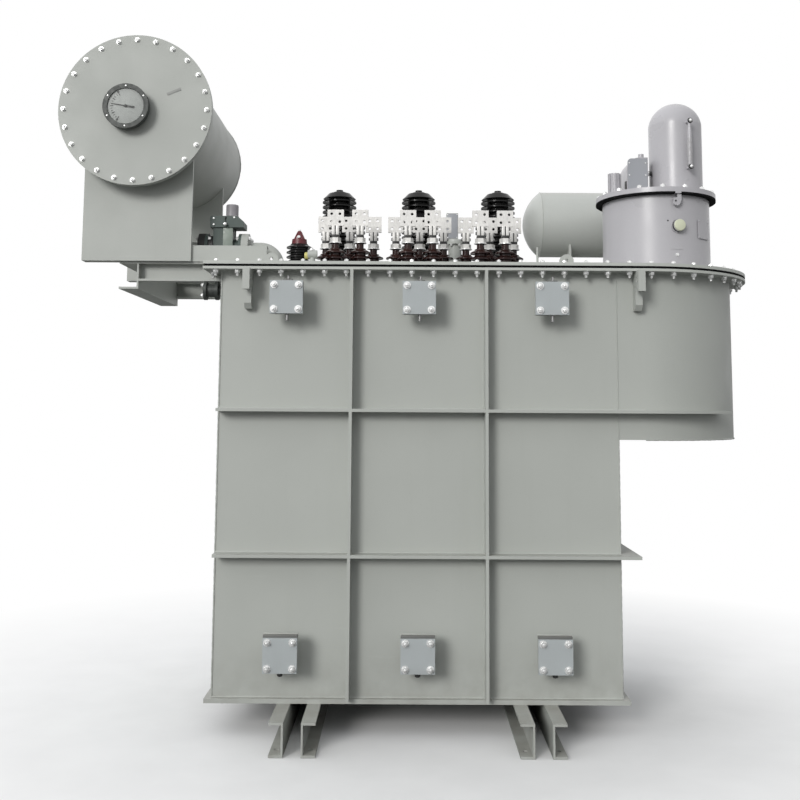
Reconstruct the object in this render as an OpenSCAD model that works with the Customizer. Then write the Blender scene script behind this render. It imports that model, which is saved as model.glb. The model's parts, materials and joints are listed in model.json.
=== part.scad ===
// Oil-filled rectifier transformer: a ribbed tank on channel skids, with a half-round
// tap-changer bay under one end of its cover. The radiators are off and their connections
// are blanked. X runs along the tank, Y from front to back, Z up from the floor.

/* [Tank] */
// Length of the tank between the outer faces of its end walls
tank_w = 1830; // [1510:10:2400]
// Depth of the tank between the outer faces of its long walls
tank_d = 1100; // [1000:10:1300]
// Height of the walls from the bottom plate to the flange
wall_h = 1910; // [1600:1:2300]
// Thickness of the wall plates
wall_t = 10; // [6:1:16]
// Thickness of the bottom plate
bottom_t = 20; // [12:1:30]
// Overhang of the bottom plate around the walls
bottom_lip = 30; // [10:1:60]

/* [Tap-changer bay] */
// Straight part of the bay between the end wall and the half round
bay_straight = 125; // [80:5:300]
// Height of the bay below the flange
bay_h = 769; // [600:1:1200]
// Angle of the half round that the upper rail covers at the front and at the back
bay_rail_angle = 43; // [20:1:80]

/* [Flange and cover] */
// Overhang of the flange and cover around the walls
flange_lip = 75; // [50:1:100]
// Width of the flange inside the wall line
flange_in = 45; // [30:1:60]
// Thickness of the tank flange
flange_t = 12; // [8:1:30]
// Thickness of the gasket under the cover
gasket_t = 11; // [6:1:16]
// Distance of the gasket inside the flange's rim
gasket_set = 55; // [45:1:70]
// Thickness of the cover plate
cover_t = 15; // [10:1:30]

/* [Stiffeners] */
// Thickness of the stiffener bars
rib_t = 14; // [8:1:20]
// Projection of the stiffener bars from the wall
rib_d = 80; // [60:1:100]
// Distance of the uprights from the tank's middle
upright_x = 308; // [200:1:420]
// Height of the lower rail above the bottom plate
low_rail_z = 616; // [400:1:900]
// Height of the upper rail above the bottom plate
high_rail_z = 1262; // [1230:1:1400]

/* [Skids] */
// Height of the skid channels
channel_h = 140; // [100:1:200]
// Width of the skid channels
channel_b = 60; // [50:1:80]
// Web thickness of the channels
channel_web = 8; // [5:1:12]
// Flange thickness of the channels
channel_flange = 10; // [6:1:14]
// Length of the skids
skid_len = 1710; // [1400:10:2000]
// Distance of each pair of channels from the tank's middle
skid_x = 523; // [400:1:600]
// Gap between the webs of a pair
web_gap = 75; // [50:1:120]
// Distance of the foundation holes from the ends of the skids
hole_end = 75; // [50:1:150]
// Diameter of the foundation holes
hole_d = 22; // [14:1:30]

/* [Lifting] */
// Thickness of the lifting lugs
lug_t = 32; // [20:1:45]
// Projection of the lifting lugs from the wall
lug_d = 120; // [80:1:150]
// Height of the lifting lugs below the flange
lug_h = 180; // [120:1:220]
// Distance of the left lugs from the left end wall
lug_in = 130; // [110:1:200]
// Diameter of the shackle hole in a lug
lug_hole_d = 24; // [16:1:34]
// Width of the cover's lifting ears
ear_w = 66; // [50:1:90]
// Distance of the ears from the end walls
ear_in = 230; // [200:1:260]

/* [Radiator connections] */
// Distance of the outer connections from the end walls
stub_in = 315; // [280:5:360]
// Height of the lower connections above the bottom plate
stub_low_z = 208; // [150:1:300]
// Depth of the upper connections below the flange
stub_high_z = 134; // [100:1:200]
// Side of the square flanges
stub_side = 150; // [120:1:180]
// Distance of the rear flange's face from the wall
stub_len = 100; // [60:1:160]
// Thickness of the square flanges
stub_t = 18; // [12:1:24]
// Diameter of the connection pipes
stub_pipe_d = 89; // [60:1:110]
// Thickness of the closing disc between the flanges
disc_t = 14; // [8:1:24]

/* [Conservator] */
// Diameter of the conservator's shell
cons_d = 630; // [500:2:800]
// Length of the conservator's shell
cons_len = 1128; // [950:1:1240]
// Diameter of the bolted front cover
cons_cover_d = 726; // [560:2:860]
// Thickness of the front cover, of the ring behind it and of the welded rear end
cons_cover_t = 18; // [10:1:24]
// Distance of the conservator's axis outside the left end wall
cons_out = 431; // [420:1:560]
// Height of the conservator's axis above the cover
cons_up = 728; // [600:1:800]
// Diameter of the oil gauge's rim
gauge_d = 214; // [160:2:260]
// Distance of the oil gauge to the left of the conservator's axis
gauge_left = 30; // [0:1:80]
// Height of the oil gauge above the conservator's axis
gauge_rise = 1; // [0:1:80]
// Width of the saddle plates
saddle_w = 520; // [400:10:640]
// Distance of the front saddle from the front of the shell
saddle_in = 100; // [60:5:140]
// Distance between the two saddles
saddle_pitch = 800; // [500:10:820]
// Thickness of the saddle plates
saddle_t = 16; // [10:1:24]
// Height of the beams under the saddles
beam_h = 78; // [60:1:140]
// Width of the beams under the saddles
beam_b = 52; // [45:1:80]
// Length of the beams beside the saddles, over the cover
beam_on = 360; // [320:5:420]
// Thickness of the pads under the beams
pad_t = 22; // [10:1:40]
// Height of the bracket that carries the saddles outside the tank
bracket_h = 93; // [84:1:120]
// Width of the bracket's tie
tie_b = 93; // [60:1:120]
// Distance of the bracket's tie to the left of the conservator's axis
tie_left = 38; // [0:1:80]

/* [Gas relay] */
// Distance of the relay's pipe behind the front wall
relay_in = 300; // [250:5:400]
// Height of the relay's pipe above the cover
relay_z = 118; // [112:1:160]
// Diameter of the relay's pipe
relay_pipe_d = 48; // [40:1:50]
// Diameter of the relay's flanges
relay_flange_d = 134; // [110:1:140]
// Length of the relay between its flanges
relay_len = 178; // [140:2:200]
// Distance of the relay's left flange outside the end wall
relay_out = 133; // [100:1:160]

/* [Low-voltage bushings] */
// Distance between the groups of bushings
lv_pitch = 356; // [350:1:420]
// Distance between the bushings of a row
lv_step = 121; // [110:1:124]
// Distance of the middle group to the right of the tank's middle
lv_right = 9; // [0:1:40]
// Distance of the front row behind the front wall
lv_in = 250; // [240:5:300]
// Distance between the rows
lv_rows = 190; // [160:5:220]
// Height of the porcelain's top above the cover
lv_porcelain_h = 133; // [110:1:180]
// Diameter of the sheds
lv_shed_d = 100; // [70:1:104]
// Height of the clamp between the nut and the palm
clamp_h = 60; // [40:1:90]
// Side of the connection palm
palm_w = 80; // [60:1:100]
// Thickness of the connection palm
palm_t = 14; // [8:1:20]
// Distance between the holes of a palm
palm_step = 40; // [30:1:50]
// Diameter of the holes of a palm
palm_hole_d = 14; // [9:1:18]

/* [High-voltage bushings] */
// Distance of the outer high-voltage bushings from the right end wall
hv_end = 465; // [450:1:500]
// Distance of the bushings in front of the back wall
hv_in = 200; // [160:5:240]
// Height of the porcelain above the cover
hv_porcelain_h = 485; // [300:5:600]
// Diameter of the sheds
hv_shed_d = 188; // [140:2:196]

/* [Neutral bushing and vent] */
// Place of the neutral bushing, as a share of the way from the beam to the first bushing
neutral_share = 0.479; // [0.45:0.001:0.52]
// Distance of the neutral bushing behind the front wall
neutral_in = 150; // [120:5:200]
// Height of the neutral bushing's porcelain
neutral_h = 110; // [80:1:140]
// Diameter of the neutral bushing's sheds
neutral_d = 122; // [90:1:130]
// Place of the vent, as a share of the way between two high-voltage bushings
vent_share = 0.447; // [0.42:0.001:0.5]
// Distance of the vent in front of the back wall
vent_in = 300; // [270:5:330]
// Height of the vent's turret with its flange
vent_h = 228; // [160:1:260]
// Diameter of the vent's flanges
vent_d = 104; // [80:1:120]

/* [Tap changer] */
// Diameter of the drum
drum_d = 536; // [400:2:560]
// Height of the drum
drum_h = 399; // [300:1:500]
// Distance of the drum's axis outside the end wall
drum_out = 310; // [300:1:330]
// Distance of the drum's axis in front of the tank's middle
drum_y = 60; // [20:5:80]
// Diameter of the drum's flanges and lid
drum_flange_d = 600; // [570:2:620]
// Thickness of each of the drum's flanges and of its lid
drum_t = 16; // [10:1:24]
// Diameter of the boss for the plug in the drum's side
plug_d = 62; // [40:1:80]
// Height of the plug above the cover
plug_z = 226; // [100:1:280]
// Diameter of the drive's dome
dome_d = 268; // [200:2:280]
// Height of the drive's dome
dome_h = 498; // [350:1:560]
// Distance of the dome to the right of the drum's axis
dome_off = 110; // [100:1:130]
// Length of the dome's handle
handle_len = 236; // [160:2:280]
// Width of the drive's terminal box
box_w = 108; // [80:1:112]
// Height of the drive's terminal box
box_h = 194; // [140:1:240]

/* [Tap-changer conservator] */
// Diameter of the small conservator
small_d = 364; // [300:2:370]
// Length of its straight shell
small_len = 560; // [480:5:600]
// Depth of its dished ends
small_dish = 92; // [60:1:110]
// Gap between its shell and the lid of the tap changer
small_gap = 13; // [5:1:20]
// Distance of its middle to the left of the tap changer's axis
small_left = 255; // [230:1:280]
// Height of its axis above the cover
small_up = 362; // [300:1:400]

/* [Cover fittings] */
// Diameter of the small valve's body
tap_d = 40; // [25:1:50]
// Distance of the small valve to the right of the neutral bushing
tap_right = 92; // [85:1:110]
// Height of the thin post
post_h = 93; // [60:1:140]
// Distance of the post to the right of the tank's middle
post_right = 561; // [540:1:600]
// Distance of the small valve and of the post behind the front wall
fitting_in = 80; // [60:5:100]

/* [Hidden] */
$fn = 64;
bottom_z = channel_h;
wall_z = bottom_z + bottom_t;
flange_z = wall_z + wall_h;
gasket_z = flange_z + flange_t;
cover_z = gasket_z + gasket_t;
top_z = cover_z + cover_t;
half_w = tank_w / 2;
half_d = tank_d / 2;
ear_x = half_w - ear_in;
bay_x = half_w + bay_straight;
bay_z = flange_z - bay_h;
low_z = wall_z + low_rail_z;
high_z = wall_z + high_rail_z;
stub_high = flange_z - stub_high_z;
stub_low = wall_z + stub_low_z;
valve_y = stub_len + disc_t;
cons_x = -half_w - cons_out;
cons_z = top_z + cons_up;
cons_y = -half_d + cons_len / 2 + cons_cover_t;
saddle_y = -half_d + cons_cover_t + saddle_in + saddle_pitch / 2;
saddle_z = top_z + pad_t;
tie_x = cons_x - tie_left;
tie_h = bracket_h * 1.42;
relay_y = half_d - relay_in;
relay_x = -half_w - relay_out;
lv_front_y = half_d - lv_in;
lv_rear_y = lv_front_y - lv_rows;
neck_h = lv_porcelain_h * 0.2;
nut_h = lv_shed_d * 0.27;
palm_z = lv_porcelain_h + nut_h + clamp_h;
beam_end = cons_x + saddle_w / 2 + beam_on;
first_lv = lv_right - lv_pitch - lv_step / 2;
neutral_x = beam_end + (first_lv - beam_end) * neutral_share;
hv_pitch = half_w - lv_right - hv_end;
vent_x = lv_right + hv_pitch * vent_share;
neutral_y = half_d - neutral_in;
drum_x = half_w + drum_out;
lid_z = top_z + drum_h;
dome_z = lid_z + drum_t;
dome_x = drum_x + dome_off;
small_x = drum_x - small_left;
small_y = -drum_y + drum_flange_d / 2 + small_gap + small_d / 2;
small_z = top_z + small_up;
grey = [0.67, 0.69, 0.66];
light_grey = [0.74, 0.75, 0.73];
dark_grey = [0.22, 0.24, 0.24];
black = [0.09, 0.09, 0.1];
lavender = [0.68, 0.67, 0.71];
blue_grey = [0.55, 0.6, 0.64];
brown = [0.27, 0.13, 0.09];
silver = [0.75, 0.76, 0.77];
red = [0.42, 0.13, 0.11];

// Outline of the tank's top in plan: a box with a half-round end, grown by g
module top_outline(g = 0) {
    translate([-half_w - g, -half_d - g])
        square([half_w + bay_x + g, tank_d + 2 * g]);
    translate([bay_x, 0])
        circle(half_d + g);
}

// The part of the plan to the right of the end wall
module bay_side(x = half_w) {
    translate([x, -half_d * 2])
        square([tank_d * 2, half_d * 4]);
}

// Channel along Y, with its web at x = 0 and its flanges towards +X
module channel_y(len, h, b, web, flange) {
    rotate([90, 0, 0])
        linear_extrude(len, center = true)
            difference() {
                square([b, h]);
                translate([web, flange])
                    square([b, h - 2 * flange]);
            }
}

// Places its children at the front and, turned about, at the back
module both_sides() {
    children();
    mirror([0, 1, 0])
        children();
}

// Places its children at each radiator connection of the front wall
module each_stub() {
    for (x = [-1, 0, 1], z = [stub_low, stub_high])
        translate([x * (half_w - stub_in), -half_d, z])
            rotate([90, 0, 0])
                children();
}

module skid() {
    difference() {
        for (side = [0, 1])
            mirror([side, 0, 0])
                translate([web_gap / 2, 0, 0])
                    channel_y(skid_len, channel_h, channel_b, channel_web, channel_flange);
        for (x = [-1, 1], y = [-1, 1])
            translate([x * (web_gap + channel_b) / 2 + x * channel_web / 2,
                       y * (skid_len / 2 - hole_end), -1])
                cylinder(d = hole_d, h = channel_flange + 2);
    }
}

module left_skid() {
    color(grey)
        translate([-skid_x, 0, 0])
            skid();
}

module right_skid() {
    color(grey)
        translate([skid_x, 0, 0])
            skid();
}

module bottom_plate() {
    color(grey)
        translate([-half_w - bottom_lip, -half_d - bottom_lip, bottom_z])
            cube([tank_w + 2 * bottom_lip, tank_d + 2 * bottom_lip, bottom_t]);
}

module long_wall() {
    translate([-half_w, -half_d, wall_z])
        cube([tank_w, wall_t, wall_h]);
}

module front_wall() {
    color(grey)
        long_wall();
}

module back_wall() {
    color(grey)
        mirror([0, 1, 0])
            long_wall();
}

module left_wall() {
    color(grey)
        translate([-half_w, -half_d + wall_t, wall_z])
            cube([wall_t, tank_d - 2 * wall_t, wall_h]);
}

module right_wall() {
    color(grey)
        translate([half_w - wall_t, -half_d + wall_t, wall_z])
            cube([wall_t, tank_d - 2 * wall_t, bay_z - wall_z]);
}

module bay_wall() {
    color(grey)
        translate([0, 0, bay_z])
            linear_extrude(bay_h)
                intersection() {
                    difference() {
                        top_outline();
                        top_outline(-wall_t);
                    }
                    bay_side();
                }
}

module bay_floor() {
    color(grey)
        translate([0, 0, bay_z])
            linear_extrude(wall_t)
                intersection() {
                    top_outline(-wall_t);
                    bay_side();
                }
}

module wall_uprights() {
    color(grey)
        both_sides()
            for (x = [-1, 1])
                translate([x * upright_x - rib_t / 2, -half_d - rib_d, wall_z])
                    cube([rib_t, rib_d, wall_h]);
}

module wall_rails() {
    side_len = half_w - upright_x - rib_t / 2;
    mid_len = 2 * upright_x - rib_t;
    color(grey)
        both_sides() {
            for (z = [low_z, high_z]) {
                translate([-half_w, -half_d - rib_d, z])
                    cube([side_len, rib_d, rib_t]);
                translate([-mid_len / 2, -half_d - rib_d, z])
                    cube([mid_len, rib_d, rib_t]);
            }
            translate([half_w - side_len, -half_d - rib_d, low_z])
                cube([side_len, rib_d, rib_t]);
        }
}

module end_rail() {
    color(grey)
        translate([half_w, -half_d - rib_d, low_z])
            cube([rib_d, tank_d + 2 * rib_d, rib_t]);
}

module bay_rail() {
    r = 2 * (half_d + rib_d);
    a = bay_rail_angle;
    color(grey)
        translate([0, 0, high_z])
            linear_extrude(rib_t)
                intersection() {
                    difference() {
                        top_outline(rib_d);
                        top_outline();
                    }
                    union() {
                        translate([upright_x + rib_t / 2, -r])
                            square([bay_x - upright_x - rib_t / 2, 2 * r]);
                        for (side = [0, 1])
                            mirror([0, side])
                                translate([bay_x, 0])
                                    polygon([
                                        [0, 0], [0, -r], [r * sin(a / 2), -r * cos(a / 2)],
                                        [r * sin(a), -r * cos(a)],
                                    ]);
                    }
                }
}

module tank_flange() {
    color(grey)
        translate([0, 0, flange_z])
            linear_extrude(flange_t)
                difference() {
                    top_outline(flange_lip);
                    top_outline(-flange_in);
                }
}

module cover_gasket() {
    color(black)
        translate([0, 0, gasket_z])
            linear_extrude(gasket_t)
                difference() {
                    top_outline(flange_lip - gasket_set);
                    top_outline(-flange_in);
                }
}

module tank_cover() {
    color(grey)
        translate([0, 0, cover_z])
            linear_extrude(cover_t)
                top_outline(flange_lip);
}

// Hooked plate under the flange, in its own plane
module lug_profile() {
    difference() {
        polygon([
            [0, 0], [lug_d, 0], [lug_d, -lug_h * 0.54], [lug_d * 0.75, -lug_h * 0.54],
            [lug_d * 0.46, -lug_h * 0.38], [lug_d * 0.46, -lug_h * 0.86],
            [lug_d * 0.3, -lug_h], [0, -lug_h],
        ]);
        translate([lug_d * 0.66, -lug_h * 0.22])
            circle(d = lug_hole_d);
    }
}

module lifting_lugs() {
    color(grey)
        both_sides()
            for (x = [-half_w + lug_in, half_w + bay_straight - lug_t])
                translate([x, -half_d, flange_z])
                    rotate([90, 0, -90])
                        translate([0, 0, -lug_t / 2])
                            linear_extrude(lug_t)
                                lug_profile();
}

module cover_ears() {
    foot = ear_w * 0.2;
    color(grey)
        both_sides()
            for (x = [-ear_x, ear_x])
                translate([x, -half_d, top_z])
                    rotate([90, 0, 0])
                        linear_extrude(foot)
                            difference() {
                                union() {
                                    translate([-ear_w / 2, 0])
                                        square([ear_w, foot]);
                                    intersection() {
                                        translate([0, foot])
                                            circle(d = ear_w);
                                        translate([-ear_w / 2, 0])
                                            square(ear_w);
                                    }
                                }
                                translate([0, foot * 1.4])
                                    circle(d = foot * 1.2);
                            }
}

module square_flange() {
    translate([-stub_side / 2, -stub_side / 2, 0])
        cube([stub_side, stub_side, stub_t]);
}

module radiator_necks() {
    color(grey)
        both_sides()
            each_stub() {
                cylinder(d = stub_pipe_d, h = stub_len);
                translate([0, 0, stub_len - stub_t])
                    square_flange();
                translate([0, 0, stub_len])
                    cylinder(d = stub_side * 0.82, h = disc_t);
            }
}

module blanking_plates() {
    color(blue_grey)
        both_sides()
            each_stub()
                translate([0, 0, valve_y])
                    square_flange();
}

module side_valve() {
    d = stub_pipe_d;
    color(dark_grey)
        translate([-half_w, -half_d + stub_len, flange_z - stub_high_z * 0.62])
            rotate([0, -90, 0]) {
                cylinder(d = d * 0.55, h = d * 0.34);
                translate([0, 0, d * 0.34])
                    cylinder(d = d, h = d * 0.16);
                translate([0, 0, d * 0.5])
                    cylinder(d = d * 0.68, h = d * 0.45);
                translate([0, 0, d * 0.95])
                    cylinder(d = d, h = d * 0.16);
            }
}

module along_conservator(y) {
    translate([cons_x, y, cons_z])
        rotate([-90, 0, 0])
            children();
}

module conservator_shell() {
    color(grey)
        along_conservator(cons_y - cons_len / 2)
            difference() {
                union() {
                    cylinder(d = cons_d, h = cons_len);
                    cylinder(d = cons_cover_d, h = cons_cover_t);
                }
                translate([0, 0, -1])
                    cylinder(d = cons_d - 2 * wall_t, h = cons_len + 2);
            }
}

module conservator_front_cover() {
    color(light_grey)
        along_conservator(cons_y - cons_len / 2 - cons_cover_t)
            cylinder(d = cons_cover_d, h = cons_cover_t);
}

module conservator_rear_cover() {
    color(light_grey)
        along_conservator(cons_y + cons_len / 2)
            cylinder(d = cons_d, h = cons_cover_t);
}

module oil_gauge() {
    depth = gauge_d * 0.28;
    color(dark_grey)
        translate([cons_x - gauge_left, cons_y - cons_len / 2 - cons_cover_t, cons_z + gauge_rise])
            rotate([90, 0, 0])
                difference() {
                    union() {
                        cylinder(d = gauge_d * 0.8, h = depth * 0.4);
                        translate([0, 0, depth * 0.4])
                            cylinder(d = gauge_d, h = depth * 0.6);
                    }
                    translate([0, 0, depth * 0.85])
                        cylinder(d = gauge_d * 0.8, h = depth);
                }
}

module saddles() {
    color(grey)
        for (y = [-1, 1])
            translate([cons_x, saddle_y + y * saddle_pitch / 2 + saddle_t / 2, 0])
                rotate([90, 0, 0])
                    linear_extrude(saddle_t)
                        difference() {
                            translate([-saddle_w / 2, saddle_z])
                                square([saddle_w, cons_z - saddle_z]);
                            translate([0, cons_z])
                                circle(d = cons_d);
                        }
}

module saddle_beams() {
    beam_l = saddle_w + beam_on;
    left = cons_x - saddle_w / 2;
    color(grey)
        for (y = [-1, 1])
            translate([0, saddle_y + y * saddle_pitch / 2 + saddle_t / 2, 0]) {
                translate([left + beam_l / 2, 0, saddle_z])
                    rotate([0, 0, 90])
                        channel_y(beam_l, beam_h, beam_b, channel_web, channel_flange);
                for (x = [-half_w - flange_lip / 2, left + beam_l - beam_b])
                    translate([x, 0, top_z])
                        cube([beam_b, beam_b, pad_t]);
            }
}

module bracket_beams() {
    len = -half_w - tie_x - tie_b / 2;
    color(grey)
        for (y = [-1, 1])
            difference() {
                translate([-half_w - len / 2, saddle_y + y * saddle_pitch / 2 + beam_b * 1.3,
                           saddle_z - bracket_h])
                    rotate([0, 0, -90])
                        channel_y(len, bracket_h, beam_b, channel_web, channel_flange);
                translate([-half_w - flange_lip, -half_d - flange_lip, flange_z])
                    cube([flange_lip * 2, tank_d + 2 * flange_lip, saddle_z]);
            }
}

module bracket_tie() {
    len = saddle_pitch + beam_b;
    color(grey)
        translate([tie_x + tie_b / 2, saddle_y + beam_b * 0.8, saddle_z - tie_h])
            mirror([1, 0, 0])
                channel_y(len, tie_h, tie_b, channel_web, channel_flange);
}

module gas_relay() {
    s = relay_pipe_d;
    l = relay_len;
    color(dark_grey)
        translate([relay_x, -relay_y, top_z + relay_z]) {
            rotate([0, 90, 0]) {
                cylinder(d = relay_flange_d, h = s * 0.3);
                cylinder(d = s * 1.5, h = l);
                translate([0, 0, l - s * 0.3])
                    cylinder(d = relay_flange_d, h = s * 0.3);
            }
            translate([l * 0.22, -s, -s * 0.9])
                cube([l * 0.52, s * 2, s * 2.85]);
            translate([0, s * 1.2, 0])
                rotate([90, 0, 0])
                    linear_extrude(s * 2.4)
                        polygon([
                            [l * 0.14, s * 1.9], [l * 1.06, s * 1.9], [l * 1.06, s * 2.5],
                            [l * 0.88, s * 3.08], [l * 0.14, s * 3.08],
                        ]);
            translate([l * 0.69, 0, s * 3.08])
                cylinder(d = s * 1.2, h = s * 1.3);
        }
}

module relay_pipes() {
    s = relay_pipe_d;
    z = top_z + relay_z;
    r = s * 1.96;
    right_x = relay_x + relay_len;
    right_l = s * 1.87;
    left_l = s * 1.25;
    color(grey)
        translate([0, -relay_y, 0]) {
            translate([right_x, 0, z])
                rotate([0, 90, 0]) {
                    cylinder(d = relay_flange_d, h = s * 0.7);
                    cylinder(d = s, h = right_l);
                }
            translate([right_x + right_l, 0, z - r])
                rotate([90, 0, 0])
                    rotate_extrude(angle = 90)
                        translate([r, 0])
                            circle(d = s);
            translate([right_x + right_l + r, 0, top_z])
                cylinder(d = s, h = z - r - top_z);
            translate([right_x + right_l + r, 0, top_z])
                cylinder(d = s * 2, h = s * 0.3);
            translate([relay_x, 0, z])
                rotate([0, -90, 0]) {
                    cylinder(d = relay_flange_d, h = s * 0.7);
                    cylinder(d = s, h = left_l);
                }
            translate([relay_x - left_l, 0, z + r])
                rotate([90, 180, 0])
                    rotate_extrude(angle = 90)
                        translate([r, 0])
                            circle(d = s);
            translate([relay_x - left_l - r, 0, z + r])
                difference() {
                    cylinder(d = s, h = cons_z - z - r);
                    translate([cons_x - relay_x + left_l + r, 0, cons_z - z - r])
                        rotate([90, 0, 0])
                            cylinder(d = cons_d, h = s * 4, center = true);
                }
        }
}

// Places its children at every low-voltage bushing
module each_lv() {
    for (g = [-1, 0, 1]) {
        for (i = [-1, 0, 1])
            translate([lv_right + g * lv_pitch + i * lv_step, -lv_rear_y, top_z])
                children();
        for (i = [-0.5, 0.5])
            translate([lv_right + g * lv_pitch + i * lv_step, -lv_front_y, top_z])
                children();
    }
}

// Porcelain with n sheds: a core of diameter core and drooping sheds of diameter shed
module porcelain(h, core, shed, n, foot) {
    step = (h - foot) / n;
    rotate_extrude() {
        square([core / 2, h]);
        square([shed / 2 - 2, foot * 0.8]);
        for (i = [0:n - 1])
            translate([0, foot + i * step])
                polygon([
                    [0, step * 0.3], [core / 2, step * 0.3], [shed / 2, step * 0.2],
                    [shed / 2, step * 0.42], [core / 2, step * 0.85], [0, step * 0.85],
                ]);
    }
}

module lv_porcelains() {
    color(brown)
        each_lv() {
            porcelain(lv_porcelain_h - neck_h, lv_shed_d * 0.56, lv_shed_d, 3, lv_shed_d * 0.2);
            cylinder(d = lv_shed_d * 0.36, h = lv_porcelain_h);
        }
}

module lv_terminals() {
    clamp_w = lv_shed_d * 0.3;
    color(silver)
        each_lv() {
            translate([0, 0, lv_porcelain_h])
                cylinder(d = lv_shed_d * 0.54, h = nut_h, $fn = 6);
            translate([-clamp_w / 2, -clamp_w * 0.6, palm_z - clamp_h])
                difference() {
                    cube([clamp_w, clamp_w * 1.2, clamp_h]);
                    translate([clamp_w * 0.44, -1, -1])
                        cube([clamp_w * 0.12, clamp_w * 0.3, clamp_h + 2]);
                }
            translate([-palm_w / 2, -palm_t / 2, palm_z])
                difference() {
                    cube([palm_w, palm_t, palm_w]);
                    for (x = [-0.5, 0.5], z = [-0.5, 0.5])
                        translate([palm_w / 2 + x * palm_step, -1, palm_w / 2 + z * palm_step])
                            rotate([-90, 0, 0])
                                cylinder(d = palm_hole_d, h = palm_t + 2);
                }
        }
}

module each_hv() {
    for (i = [-1, 0, 1])
        translate([lv_right + i * hv_pitch, half_d - hv_in, top_z])
            children();
}

module hv_porcelains() {
    color(black)
        each_hv()
            porcelain(hv_porcelain_h, hv_shed_d * 0.62, hv_shed_d, 16, hv_shed_d * 0.2);
}

module hv_terminals() {
    d = hv_shed_d;
    color(black)
        each_hv()
            translate([0, 0, hv_porcelain_h]) {
                cylinder(d1 = d * 0.96, d2 = d * 0.64, h = d * 0.16);
                translate([0, 0, d * 0.16])
                    cylinder(d1 = d * 0.5, d2 = d * 0.36, h = d * 0.05);
                translate([0, 0, d * 0.21])
                    cylinder(d = d * 0.2, h = d * 0.06);
            }
}

module neutral_bushing() {
    d = neutral_d;
    color(black)
        translate([neutral_x, -neutral_y, top_z])
            porcelain(neutral_h, d * 0.69, d, 4, d * 0.13);
}

module neutral_cap() {
    d = neutral_d;
    color(red)
        translate([neutral_x, -neutral_y, top_z + neutral_h]) {
            cylinder(d1 = d * 0.61, d2 = d * 0.57, h = d * 0.2);
            translate([0, 0, d * 0.2])
                cylinder(d1 = d * 0.46, d2 = d * 0.17, h = d * 0.31);
            translate([0, 0, d * 0.51])
                cylinder(d1 = d * 0.17, d2 = d * 0.09, h = d * 0.04);
        }
}

module vent_turret() {
    d = vent_d;
    color(grey)
        translate([vent_x, half_d - vent_in, top_z]) {
            cylinder(d = d * 0.7, h = vent_h);
            translate([0, 0, vent_h - d * 0.12])
                cylinder(d = d, h = d * 0.12);
        }
}

module vent_box() {
    d = vent_d;
    color(light_grey)
        translate([vent_x, half_d - vent_in, top_z + vent_h]) {
            cylinder(d = d, h = d * 0.12);
            translate([-d * 0.45, -d * 0.4, d * 0.12])
                cube([d * 0.6, d * 0.8, d * 1.38]);
        }
}

// Lug that hangs from the drum's upper flange, in its own plane
module drum_lug() {
    w = drum_flange_d * 0.072;
    difference() {
        polygon([
            [0, 0], [w * 0.45, 0], [w * 0.45, -w * 0.75], [w * 0.28, -w * 1.2],
            [w * 0.05, -w * 1.4], [-w * 0.3, -w * 1.4], [-w * 0.5, -w * 1.2],
            [-w * 0.5, -w * 0.6], [0, -w * 0.45],
        ]);
        translate([-w * 0.22, -w * 0.9])
            circle(d = w * 0.26);
    }
}

module tap_changer_drum() {
    color(lavender)
        translate([drum_x, -drum_y, top_z]) {
            cylinder(d = drum_d, h = drum_h);
            cylinder(d = drum_flange_d, h = drum_t);
            translate([0, 0, drum_h - drum_t])
                cylinder(d = drum_flange_d, h = drum_t);
            rotate([0, 0, 9.5])
                translate([0, 0, plug_z])
                    rotate([90, 0, 0]) {
                        cylinder(d = plug_d * 1.16, h = drum_d / 2 + plug_d * 0.1);
                        cylinder(d = plug_d, h = drum_d / 2 + plug_d * 0.36);
                    }
            rotate([0, 0, 8])
                translate([0, -drum_flange_d * 0.465, drum_h - drum_t * 0.9])
                    rotate([90, 0, 0])
                        linear_extrude(drum_t * 0.75)
                            drum_lug();
        }
}

module tap_changer_lid() {
    d = dome_d * 0.25;
    color(lavender)
        translate([drum_x, -drum_y, lid_z]) {
            cylinder(d = drum_flange_d, h = drum_t);
            translate([-drum_flange_d * 0.377, -drum_flange_d * 0.15, drum_t])
                linear_extrude(box_h * 0.55) {
                    circle(d = d * 0.84);
                    for (a = [0:30:150])
                        rotate(a)
                            square([d, d * 0.09], center = true);
                }
        }
}

// The dome's cover, a cylinder with a dished top, and the handle on its front
module drive_dome() {
    cap_h = dome_d * 0.45;
    cap_r = (dome_d * dome_d / 4 + cap_h * cap_h) / (2 * cap_h);
    tube = dome_d * 0.085;
    reach = dome_d / 2 + tube * 1.6;
    low = dome_h * 0.26;
    color(lavender)
        translate([dome_x, -drum_y, dome_z]) {
            rotate_extrude() {
                square([dome_d / 2, dome_h - cap_h]);
                intersection() {
                    translate([0, dome_h - cap_r])
                        circle(cap_r, $fn = 240);
                    translate([0, dome_h - cap_h])
                        square([dome_d / 2, cap_h]);
                }
            }
            rotate([0, 0, 10]) {
                for (z = [low, low + handle_len])
                    translate([0, 0, z])
                        rotate([90, 0, 0])
                            cylinder(d = tube * 0.5, h = reach + tube * 0.4);
                translate([0, -reach, low - tube * 0.4])
                    rotate_extrude()
                        polygon([
                            [0, 0], [tube * 0.3, 0], [tube * 0.36, handle_len * 0.1],
                            [tube / 2, handle_len * 0.2], [tube / 2, handle_len * 0.76],
                            [tube * 0.36, handle_len * 0.9],
                            [tube * 0.3, handle_len + tube * 0.8], [0, handle_len + tube * 0.8],
                        ]);
            }
        }
}

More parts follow.
